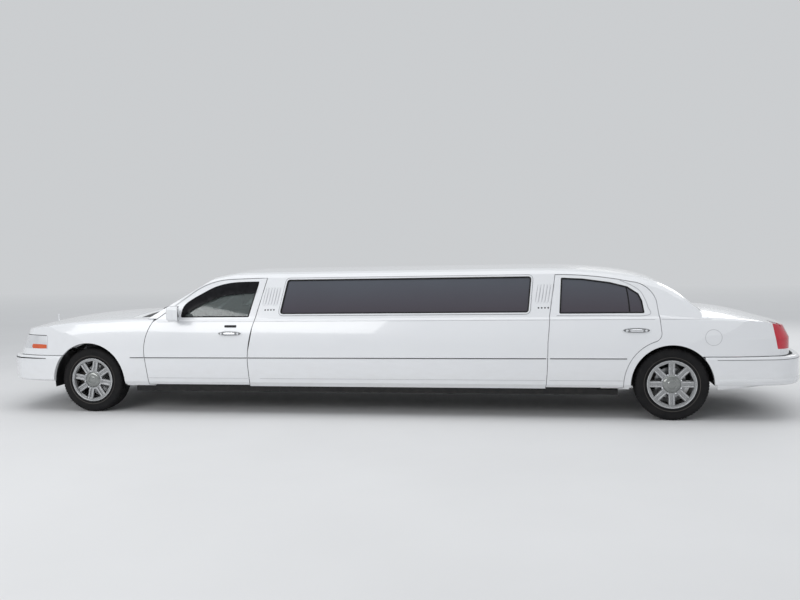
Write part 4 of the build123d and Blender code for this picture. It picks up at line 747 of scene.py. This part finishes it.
def strip_swell(t):
    """The front strip is widest at the nose."""
    return 0.55 + 1.3 * t


for name, node, z, side_x, ahead, section, swell, look in (
    ("front_bumper_strip", "front_bumper", BUMPER_STRIP_Z, -3.600, -1, bar(0.011, 0.003), strip_swell, RUBBER_AND_SHADOW),
    ("rear_bumper_strip", "rear_bumper", BUMPER_STRIP_Z, 3.345, 1, bar(0.006, 0.002), None, SEAM),
    ("rear_bumper_roll", "rear_bumper", BUMPER_ROLL_Z, 3.356, 1, bar(0.034, 0.006), None, PAINT),
):
    pair(name, "body", bumper_line(node, z, side_x, ahead, section, swell), look)

# Insert of the front bumper's opening: it follows the bumper's skin at one height, set back
INSERT_HALF = 0.374
INSERT_SETBACK = 0.045
INSERT_SKIN_Z = 0.500
INSERT_HEIGHTS = (0.384, 0.430, 0.476)
SLAT_HEIGHTS = (0.402, 0.421, 0.439, 0.458)


def lower_grille(bm):
    def place(y, z):
        face, _ = seat_on((-BEYOND_END, y, INSERT_SKIN_Z), (1, 0, 0), "front_bumper")
        return Vector((face.x + INSERT_SETBACK, y, z))

    across = spread(-INSERT_HALF, INSERT_HALF, 24)
    sheet(bm, [[place(y, z) for z in INSERT_HEIGHTS] for y in across], 0.003)
    for z in SLAT_HEIGHTS:
        ribbon(bm, [place(y, z) for y in across], Vector((-1, 0, 0)), bar(0.007, 0.016))


single("front_bumper_insert", "body", lower_grille, PLASTIC)


# Flutes and dots on the pillars beside the stretch windows; the flutes lean back a little, and pale grey lines
# between them are painted shade
FLUTE_PITCH = 0.0315
FLUTE_LEAN = 0.030
FLUTE_FOOT = 1.140
FLUTE_LENGTH = 0.185
FLUTE_FORM = ((0, 0.35), (0.08, 0.9), (0.3, 1), (0.7, 1), (0.92, 0.9), (1, 0.35))  # place along it, width
SHADE_LINE_FOOT = 1.150
SHADE_LINE_LENGTH = 0.172
DOTS_Z = 1.094


def flutes(start_x):
    def draw(bm):
        for i in range(5):
            x = start_x + FLUTE_PITCH * i
            path = [wall(x + FLUTE_LEAN * t, FLUTE_FOOT + FLUTE_LENGTH * t) for t, _ in FLUTE_FORM]
            ribbon(bm, path, WALL_OUT, bar(0.019, 0.0045), swell=lambda t: FLUTE_FORM[round(t * 5)][1])
    return draw


def flute_shade_lines(start_x):
    # Painted shade: thin pale grey lines between the flutes
    def draw(bm):
        for i in range(6):
            x = start_x + FLUTE_PITCH * (i - 0.5)
            path = [wall(x + FLUTE_LEAN * t, SHADE_LINE_FOOT + SHADE_LINE_LENGTH * t, -0.0002) for t in spread(0, 1, 4)]
            ribbon(bm, path, WALL_OUT, bar(0.0065, 0.0012), swell=lambda t: 0.5 + 0.5 * math.sin(math.pi * t))
    return draw


def dots(start_x):
    def draw(bm):
        for i in range(4):
            place = wall(start_x + 0.0155 + FLUTE_PITCH * i, DOTS_Z, -0.0005)
            dome(bm, place, WALL_OUT, radius=0.0085, height=0.003)
    return draw


for name, start_x in (("front", F + 1.960), ("rear", R - 1.271)):
    pair(f"flutes_{name}", "body", flutes(start_x), PAINT)
    pair(f"flute_grooves_{name}", "body", flute_shade_lines(start_x), FAINT)
    pair(f"flute_dots_{name}", "body", dots(start_x), RUBBER_AND_SHADOW)


# Door handles: a bright cover over each pull bar, in a shaded bowl with a rim
HANDLE_HALF = 0.088
HANDLE_DEPTH = 0.01045
HANDLE_HEIGHT = 0.0160
HANDLE_SINK = 0.005


def handle(x0, z0, node):
    def draw(bm):
        face, _ = skin(x0, z0, node)
        rings = []
        for t in spread(-1, 1, 20):
            size = max(1 - abs(t) ** 3, 0.06)
            rings.append([bm.verts.new((x0 + HANDLE_HALF * t,
                                        face.y + HANDLE_SINK - HANDLE_DEPTH * size * u,
                                        z0 + HANDLE_HEIGHT * size * v)) for u, v in circle(16)])
        join(bm, rings)
        ends(bm, rings)
    return draw


def oval(x0, z0, half_x, half_z, node, count=40):
    """Points of the skin on an oval, in side view, with their normals."""
    return [skin(x0 + half_x * u, z0 + half_z * v, node) for u, v in circle(count)]


def rim(x0, z0, node, half_x, half_z, section):
    """Oval rim on the skin round a handle."""
    def draw(bm):
        seated_ribbon(bm, oval(x0, z0, half_x, half_z, node), (0, 1, 1), section, closed=True)
    return draw


def bowl(x0, z0, node, half_x, half_z):
    """Shaded bowl of a handle, a thin sheet on the skin."""
    def draw(bm):
        rings = []
        for share in (1.0, 0.85, 0.6, 0.3, 0.02):
            lift = 0.0008 + 0.0006 * (1 - share)
            hits = oval(x0, z0, half_x * share, half_z * share, node)
            rings.append([bm.verts.new(place + normal * lift) for place, normal in hits])
        join(bm, rings)
        bm.faces.new(rings[-1])
        thicken(bm, 0.0012)
    return draw


SHADE = (speckled("handle_shade", (0.16, 0.165, 0.17), (0.24, 0.245, 0.25), 0.4, 30.0, 0.05), "black_plastic")
for name, body, node, x0, z0 in (
    ("front", "front_door_{}", "door_front_left", F + 1.606, 0.855),
    ("rear", "rear_door_{}", "door_rear_left", R - 0.331, 0.874),
):
    pair(f"handle_cover_{name}", body, handle(x0, z0, node), CHROME)
    pair(f"handle_rim_{name}", body, rim(x0, z0, node, 0.134, 0.027, bar(0.007, 0.0035)), PAINT)
    pair(f"handle_bowl_{name}", body, bowl(x0, z0, node, 0.124, 0.021), SHADE)

# Entry keys above the driver's handle
KEYPAD_X = F + 1.612
KEYPAD_Z = 0.930
KEYPAD_HALF_X = 0.0675
KEYPAD_HALF_Z = 0.0135
KEYPAD_THICK = 0.003
KEY_PITCH = 0.024


def keypad(bm):
    base, normal = skin(KEYPAD_X, KEYPAD_Z, "door_front_left")
    normal = Vector((0, normal.y, normal.z)).normalized()
    up = Vector((0, normal.z, -normal.y))
    low, high = [], []
    for u, v in circle(32):
        square = 1 / max(abs(u), abs(v)) ** 0.8
        x, z = KEYPAD_HALF_X * u * square, KEYPAD_HALF_Z * v * square
        low.append(base + Vector((x, 0, 0)) + up * z - normal * 0.002)
        high.append(base + Vector((x * 0.97, 0, 0)) + up * z * 0.9 + normal * KEYPAD_THICK)
    rings = [[bm.verts.new(place) for place in ring] for ring in (low, high)]
    join(bm, rings)
    ends(bm, rings)
    for i in range(-2, 3):
        key = base + Vector((KEY_PITCH * i, 0, 0)) + normal * (KEYPAD_THICK - 0.0005)
        dome(bm, key, normal, radius=0.0075, height=0.0015)


single("door_keypad", "front_door_left", keypad, PLASTIC)


# Mirrors: a wedge on the housing's rear face turns rim and glass towards the driver
MIRROR_FACE_X = F + 1.046
MIRROR_Y = -1.034
MIRROR_Z = 1.074
MIRROR_INNER_Y = -0.950
MIRROR_TILT = 0.34


def mirror_plate(half_y, half_z, radius, start, end, wedge):
    """Rounded plate between two distances from the housing; a wedge has only its far side turned."""
    def draw(bm):
        outline = rounded([(MIRROR_Y + half_y * u, MIRROR_Z + half_z * v)
                           for u, v in ((-1, -1), (1, -1), (1, 1), (-1, 1))], radius)
        rings = []
        for ahead, tilt in ((start, 0.0 if wedge else MIRROR_TILT), (end, MIRROR_TILT)):
            face = MIRROR_FACE_X + ahead
            rings.append([bm.verts.new((face + tilt * (MIRROR_INNER_Y - p.x), p.x, p.y)) for p in outline])
        join(bm, rings)
        ends(bm, rings)
    return draw


GLASS = (speckled("mirror_glass", (0.76, 0.77, 0.78), (0.82, 0.83, 0.84), 0.06, 3.0, 0.0, Metallic=1.0),
         "bright_metal")
for name, half_y, half_z, radius, start, end, wedge, look in (
    ("mirror_bezel", 0.0835, 0.0765, 0.038, -0.001, 0.001, True, PAINT),
    ("mirror_rim", 0.0800, 0.0730, 0.036, -0.001, 0.002, False, RUBBER_AND_SHADOW),
    ("mirror_glass", 0.0740, 0.0670, 0.030, 0.0022, 0.0036, False, GLASS),
):
    pair(name, "front_door_{}", mirror_plate(half_y, half_z, radius, start, end, wedge), look)


# Black liners of the wheel houses: a curved sheet at the bumper's end, and the rear ones' inner walls
LINER_GAP = 0.003
LINER_OUTER_Y = 0.925
LINER_BEND = 0.02


def liner(axle_x, radius, start, end, inner_y, wall_radius=None):
    """Sheet over an arch between two angles in degrees, with a wall down to a radius where one is given."""
    def draw(bm):
        rows = []
        for angle in spread(start, end, 24):
            angle = math.radians(angle)
            ray = Vector((math.cos(angle), 0, math.sin(angle)))
            section = [(radius, LINER_OUTER_Y), (radius, inner_y + LINER_BEND), (radius, inner_y)]
            if wall_radius:
                section += [(radius - LINER_BEND, inner_y), (wall_radius, inner_y)]
            rows.append([Vector((axle_x, -y, AXLE_Z)) + ray * r for r, y in section])
        sheet(bm, rows, 0.002)
    return draw


front_liner = liner(FRONT_AXLE_X, FRONT_ARCH + LINER_GAP, 130, 190, inner_y=0.60)
rear_liner = liner(REAR_AXLE_X, REAR_ARCH + LINER_GAP, -2, 80, inner_y=0.655, wall_radius=0.17)
pair("wheel_liner_front", "body", front_liner, PLASTIC)
pair("wheel_liner_rear", "body", rear_liner, PLASTIC)

# Fuel flap's shut line, on the left only
FLAP_X = R + 0.372
FLAP_Z = 0.805
FLAP_RADIUS = 0.075


def fuel_flap(bm):
    hits = oval(FLAP_X, FLAP_Z, FLAP_RADIUS, FLAP_RADIUS, "quarter_panels", 48)
    seated_ribbon(bm, hits, (1, 1, 1), bar(0.004, 0.0008), closed=True)


single("fuel_flap_line", "body", fuel_flap, FAINT)

# Headlamp's amber strip and the seals behind and above the lamp
AMBER_START_X = -3.592
AMBER_END_X = -3.814
AMBER_Z = 0.7165
AMBER_HALF = 0.0235
LAMP_REAR_X = -3.590
LAMP_TOP_Z = 0.8365


def amber(bm):
    rows = []
    for k, x in enumerate(spread(AMBER_START_X, AMBER_END_X, 24)):
        t = k / 24
        near_end = min(t / 0.10, (1 - t) / 0.06, 1)
        ease = math.sqrt(1 - (1 - near_end) ** 2) * 0.75 + 0.25
        row = []
        for s in spread(-1, 1, 6):
            hit = skin(x, AMBER_Z + AMBER_HALF * s * ease, "headlamps")
            if hit:
                row.append(hit[0] + OUTWARD * (0.0025 * (1 - s * s) ** 0.5 + 0.0004))
        if len(row) == 7:
            rows.append(row)
    sheet(bm, rows, 0.0012)


def lamp_rear_seal(bm):
    hits = [skin(LAMP_REAR_X, z, "front_fenders", "headlamps") for z in spread(0.694, 0.831, 10)]
    seated_ribbon(bm, hits, (0, 1, 0), bar(0.004, 0.0012))


AMBER = (lamp_material("lamp_amber", (0.60, 0.090, 0.025), (0.72, 0.130, 0.040), 0.0, 30.0, "X"), "lamp_clear")
pair("lamp_amber_strip", "body", amber, AMBER)
pair("lamp_rear_seal", "body", lamp_rear_seal, FAINT)
top_seal = side_strip("front_fenders", -3.600, -3.930, LAMP_TOP_Z, bar(0.007, 0.002), steps=20)
pair("lamp_top_seal", "body", top_seal, RUBBER_AND_SHADOW)

# Skirt under the rear bumper, deepest beside the wheel
SKIRT_START_X = 3.262
SKIRT_END_X = 3.782
SKIRT_TOP_Z = 0.350
SKIRT_FOOT_Z = 0.300
SKIRT_RISE = 0.046
SKIRT_SKIN_Z = 0.372


def skirt(bm):
    rows = []
    for k, x in enumerate(spread(SKIRT_START_X, SKIRT_END_X, 18)):
        hit = skin(x, SKIRT_SKIN_Z, "rear_bumper")
        if hit:
            foot = SKIRT_FOOT_Z + SKIRT_RISE * (k / 18) ** 1.3
            section = ((0.009, SKIRT_TOP_Z), (0.016, (SKIRT_TOP_Z + foot) / 2), (0.030, foot), (0.066, foot))
            rows.append([(x, hit[0].y + inward, z) for inward, z in section])
    sheet(bm, rows, 0.003)


pair("rear_bumper_skirt", "body", skirt, PAINT)


# Wipers on the windscreen's foot
SCREEN_FOOT_X = -2.39
SCREEN_OUT = Vector((-0.5, 0, 0.86))


def wiper(start_y, end_y, arm_y):
    def on_screen(y, ahead):
        return seat_on((SCREEN_FOOT_X + ahead, y, ABOVE_ROOF), (0, 0, -1), "fixed_glass", "cowl_panel")[0]

    def draw(bm):
        blade = [on_screen(y, 0.020) + Vector((-0.010, 0, 0.013)) for y in spread(start_y, end_y, 10)]
        ribbon(bm, blade, SCREEN_OUT, bar(0.012, 0.009, depth=0.009))
        foot = on_screen(arm_y, -0.030) + Vector((0, 0, 0.004))
        middle = blade[5] + Vector((0, 0, 0.012))
        arm = [foot.lerp(middle, t) + Vector((0, 0, 0.010 * math.sin(math.pi * t))) for t in spread(0, 1, 6)]
        ribbon(bm, arm, SCREEN_OUT, bar(0.014, 0.006, depth=0.003), swell=lambda t: 1.5 - 0.8 * t)
        dome(bm, foot - Vector((0, 0, 0.010)), Vector((-0.2, 0, 1)), radius=0.018, height=0.020)
    return draw


single("wiper_driver", "body", wiper(-0.66, -0.06, -0.10), PLASTIC)
single("wiper_passenger", "body", wiper(0.02, 0.58, 0.52), PLASTIC)


# Wheels: sections as (y, radius) from the wheel's middle, the outer face at minus Y
TYRE_HALF = [
    (0.088, 0.2185), (0.0955, 0.232), (0.100, 0.238), (0.1045, 0.247), (0.1095, 0.258), (0.1118, 0.2645),
    (0.1108, 0.267), (0.1129, 0.2695), (0.1129, 0.274), (0.1112, 0.2765), (0.1129, 0.290), (0.1126, 0.312),
    (0.1112, 0.322), (0.1075, 0.332), (0.1010, 0.3405), (0.0930, 0.3460), (0.0840, 0.3485), (0.0640, 0.3490),
    (0.0625, 0.3420), (0.0545, 0.3420), (0.0530, 0.3490), (0.0240, 0.3490), (0.0225, 0.3420), (0.0145, 0.3420),
    (0.0130, 0.3490),
]
TYRE = [(-y, r) for y, r in TYRE_HALF] + TYRE_HALF[::-1]
RIM_LIP = [(-0.1068, 0.2235), (-0.1092, 0.2255), (-0.1092, 0.2295), (-0.1085, 0.2325), (-0.1068, 0.2340),
           (-0.1060, 0.2290)]
CAP = [(-0.1118, 0.0005), (-0.1116, 0.018), (-0.1106, 0.030), (-0.1082, 0.038), (-0.1055, 0.0405),
       (-0.1045, 0.0425), (-0.1045, 0.0455), (-0.1058, 0.0475), (-0.1050, 0.060), (-0.1020, 0.070),
       (-0.0965, 0.080), (-0.0920, 0.0842), (-0.0895, 0.0842), (-0.0895, 0.0005)]
TREAD_STEPS = 288
SHOULDER_Y = 0.0635
CENTRE_RIB_Y = 0.0245
SHOULDER_CUT = 0.006
RIB_CUT = 0.004
SPOKES = 8
SPOKE_EDGE = 0.0185
SPOKE_FACE_Y = -0.0900
RIDGE_RADII = (0.094, 0.104, 0.125, 0.150, 0.175, 0.197, 0.206)
ROOT_DOME_RADIUS = 0.0955
BRIGHT = (speckled("machined_alloy", (0.50, 0.505, 0.515), (0.64, 0.645, 0.655), 0.2, 30.0, 0.03, Metallic=1.0),
          "alloy")
CENTRE = (speckled("cap_alloy", (0.24, 0.25, 0.245), (0.34, 0.35, 0.34), 0.24, 14.0, 0.03, Metallic=0.9),
          "alloy")
ROOT_CHROME = (MATS["bright_metal"], "alloy")


def tread(y, r, i):
    """Cross cuts of the shoulder blocks and the ribs, one to four steps of the turn."""
    if r > 0.330 and abs(y) > SHOULDER_Y and i % 4 == 0:
        return r - SHOULDER_CUT
    if r > 0.348 and CENTRE_RIB_Y < abs(y) < SHOULDER_Y and i % 4 == 2:
        return r - RIB_CUT
    return r


def spoke_directions(parked, between=0.0):
    """Outward and sideways directions of the spokes, or of the places between them."""
    for spoke in range(SPOKES):
        angle = 2 * math.pi / SPOKES * (spoke + between) + math.pi / 2 - math.radians(parked)
        yield Vector((math.cos(angle), 0, math.sin(angle))), Vector((-math.sin(angle), 0, math.cos(angle)))


def ridge_swell(t):
    """A ridge is narrower at both ends."""
    return 0.7 + 0.3 * math.sin(math.pi * t) ** 0.5


def spoke_ridges(bm, centre, parked):
    face = centre + Vector((0, SPOKE_FACE_Y, 0))
    for radial, sideways in spoke_directions(parked):
        for edge in (-SPOKE_EDGE, SPOKE_EDGE):
            path = [face + radial * r + sideways * edge for r in RIDGE_RADII]
            ribbon(bm, path, OUTWARD, bar(0.0135, 0.0042), swell=ridge_swell)


def root_domes(bm, centre, parked):
    face = centre + Vector((0, SPOKE_FACE_Y + 0.0005, 0))
    for radial, _ in spoke_directions(parked, between=0.5):
        dome(bm, face + radial * ROOT_DOME_RADIUS, OUTWARD, radius=0.0100, height=0.008)


def wheel(end, label, sign, centre, parked):
    """Treaded tyre and bright trim of one wheel, turned from an upright spoke by an angle in degrees."""
    body = f"wheel_{end}_{label}"
    rubber = single(f"tyre_tread_{end}_{label}", body, lambda bm: lathe(bm, TYRE, centre, TREAD_STEPS, tread),
                    TYRE_RUBBER, sign, sharp=28.0)
    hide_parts(f"tyre_{end}_{label}")
    for name, draw, look in (
        ("rim_lip", lambda bm: lathe(bm, RIM_LIP, centre, 96), BRIGHT),
        ("wheel_cap", lambda bm: lathe(bm, CAP, centre, 64), CENTRE),
        ("spoke_ridges", lambda bm: spoke_ridges(bm, centre, parked), BRIGHT),
        ("spoke_root_domes", lambda bm: root_domes(bm, centre, parked), ROOT_CHROME),
    ):
        single(f"{name}_{end}_{label}", body, draw, look, sign)


for end, axle_x, track, parked in (
    ("front", FRONT_AXLE_X, FRONT_TRACK, 11.0),
    ("rear", REAR_AXLE_X, REAR_TRACK, 0.0),
):
    for label, sign in SIDES:
        wheel(end, label, sign, Vector((axle_x, -track / 2, AXLE_Z)), parked)


# Seats: crowned leather cushions with sewn channels
SQUARENESS = 7.0
SIDE_PULL = 0.035
CHANNEL_DEPTH = 0.011
CHANNEL_WIDTH = 0.009
PIPING = 0.002
UPRIGHT = -1.335


def cushion(name, size, place, lean, crown, channels, along=1, axis="Y"):
    """Padded block: rounded sides, a crowned face up and channels across it; lean tips it about an axis."""
    bm = bmesh.new()
    bmesh.ops.create_cube(bm, size=2.0)
    bmesh.ops.subdivide_edges(bm, edges=bm.edges[:], cuts=27, use_grid_fill=True)
    half = Vector(size) / 2
    for vert in bm.verts:
        u, v, w = vert.co
        length = (abs(u) ** SQUARENESS + abs(v) ** SQUARENESS + abs(w) ** SQUARENESS) ** (1 / SQUARENESS)
        u, v, w = u / length, v / length, w / length
        pull = 1 - SIDE_PULL * (1 - u * u) * abs(v) ** 4 - SIDE_PULL * (1 - v * v) * abs(u) ** 4
        x, y, z = u * half.x * pull, v * half.y * pull, w * half.z
        if w > 0:
            z += crown * (1 - u ** 4) * (1 - v ** 4) * w
            across = (u, v)[along] * channels / 2
            gap = abs(across - round(across)) / channels * 2 * (half.x, half.y)[along]
            if abs(round(across)) < channels / 2:
                groove = math.exp(-(gap / CHANNEL_WIDTH) ** 2)
                z -= CHANNEL_DEPTH * groove * w * (1 - (u, v)[1 - along] ** 8)
        piping = PIPING * math.exp(-((abs(w) - 0.75) / 0.05) ** 2)
        x += math.copysign(piping, x)
        y += math.copysign(piping, y)
        vert.co = (x, y, z)
    bm.transform(Matrix.Translation(place) @ Matrix.Rotation(lean, 4, axis))
    piece = make(name, bm, "body", LEATHER, 70.0)
    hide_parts("seats")


for label, y in (("driver", -0.37), ("passenger", 0.37)):
    cushion(f"seat_cushion_{label}", (0.47, 0.50, 0.225), (-1.675, y, 0.452), 0.03, crown=0.016, channels=4)
    cushion(f"seat_back_{label}", (0.47, 0.48, 0.11), (-1.375, y, 0.775), UPRIGHT, crown=0.016, channels=4)
    cushion(f"seat_headrest_{label}", (0.150, 0.25, 0.066), (-1.300, y, 1.095), -1.45, crown=0.008, channels=2)
cushion("rear_bench_cushion", (0.46, 1.15, 0.13), (2.520, 0, 0.572), 0.05, crown=0.014, channels=6)
cushion("rear_bench_back", (0.42, 1.15, 0.085), (2.862, 0, 0.845), UPRIGHT, crown=0.014, channels=6)

# The side bench runs along the right side of the lounge
LOUNGE_START = F + 2.300
LOUNGE_END = R - 1.350
LOUNGE_MIDDLE = (LOUNGE_START + LOUNGE_END) / 2
BENCH_LENGTH = LOUNGE_END - LOUNGE_START - 0.02
for name, width, thick, y, z, lean in (
    ("side_bench_cushion", 0.36, 0.26, 0.585, 0.452, 0.0),
    ("side_bench_back", 0.40, 0.075, 0.765, 0.810, 1.40),
):
    cushion(name, (BENCH_LENGTH, width, thick), (LOUNGE_MIDDLE, y, z), lean, crown=0.012, channels=8,
            along=0, axis="X")


# Floor, world and lamps
def seen_rays(tree):
    """Over 0 for rays that show the backdrop: from the camera, mirrored or through glass."""
    ray = tree.nodes.new("ShaderNodeLightPath")
    found = ray.outputs["Is Camera Ray"]
    for name in ("Is Glossy Ray", "Is Transmission Ray"):
        both = tree.nodes.new("ShaderNodeMath")
        both.operation = "ADD"
        tree.links.new(found, both.inputs[0])
        tree.links.new(ray.outputs[name], both.inputs[1])
        found = both.outputs["Value"]
    return found


def blend_to_output(tree, output, factor, first, second):
    """Mix of two shaders, put on a tree's output."""
    mixer = tree.nodes.new("ShaderNodeMixShader")
    for value, socket in zip((factor, first, second), mixer.inputs):
        tree.links.new(value, socket)
    tree.links.new(mixer.outputs[0], output.inputs["Surface"])


def make_floor():
    """Pale floor that fades to the backdrop's colour far from the car."""
    bm = bmesh.new()
    bmesh.ops.create_grid(bm, x_segments=2, y_segments=2, size=60)
    mesh = bpy.data.meshes.new("floor")
    bm.to_mesh(mesh)
    bm.free()
    floor = new_object("floor", mesh)
    s = Shader("floor_pale", Specular_IOR_Level=0.2)
    s.colour(s.ramp(s.noise(0.6, 4.0), [(0.3, (0.74, 0.74, 0.74)), (0.7, (0.77, 0.77, 0.77))]))
    s.rough(s.remap(s.noise(5.0, 4.0), 0.3, 0.7, 0.75, 0.85))
    far = s.remap(s.size_of(s.axis("Y")), 3.0, 26.0, 0.0, 1.0)
    pale = set_inputs(s.node("ShaderNodeEmission"), Color=BACKDROP)
    blend_to_output(s.tree, s.tree.nodes["Material Output"], s.times(far, seen_rays(s.tree)),
                    s.bsdf.outputs["BSDF"], pale.outputs["Emission"])
    floor.data.materials.append(s.mat)


def make_world():
    """Soft cool light, with a plain backdrop for the rays that show it."""
    world = bpy.data.worlds.new("studio")
    world.use_nodes = True
    tree = world.node_tree
    tree.nodes.clear()
    lights = []
    for colour, strength in (((0.93, 0.96, 1.0, 1), 0.66), (BACKDROP, 1.0)):
        light = set_inputs(tree.nodes.new("ShaderNodeBackground"), Color=colour, Strength=strength)
        lights.append(light.outputs[0])
    blend_to_output(tree, tree.nodes.new("ShaderNodeOutputWorld"), seen_rays(tree), *lights)
    bpy.context.scene.world = world


def make_lamps():
    """Large area lamps: name, place, aim, size in metres and power in watts."""
    for name, place, aim, size, power in (
        ("lamp_top", (0, -1.5, 8.0), (0, 0, 0.8), (14, 6), 270),
        ("lamp_front", (-5, -9, 4.5), (-1, 0, 0.8), (7, 3), 220),
        ("lamp_back", (6, 8, 5.0), (1, 0, 0.8), (8, 3), 160),
    ):
        data = bpy.data.lights.new(name, "AREA")
        data.shape = "RECTANGLE"
        data.size, data.size_y = size
        data.energy = power
        lamp = new_object(name, data)
        lamp.location = place
        lamp.rotation_euler = (Vector(aim) - Vector(place)).to_track_quat("-Z", "Y").to_euler()


make_camera()
make_floor()
make_world()
make_lamps()
bpy.context.scene.view_settings.view_transform = "Standard"
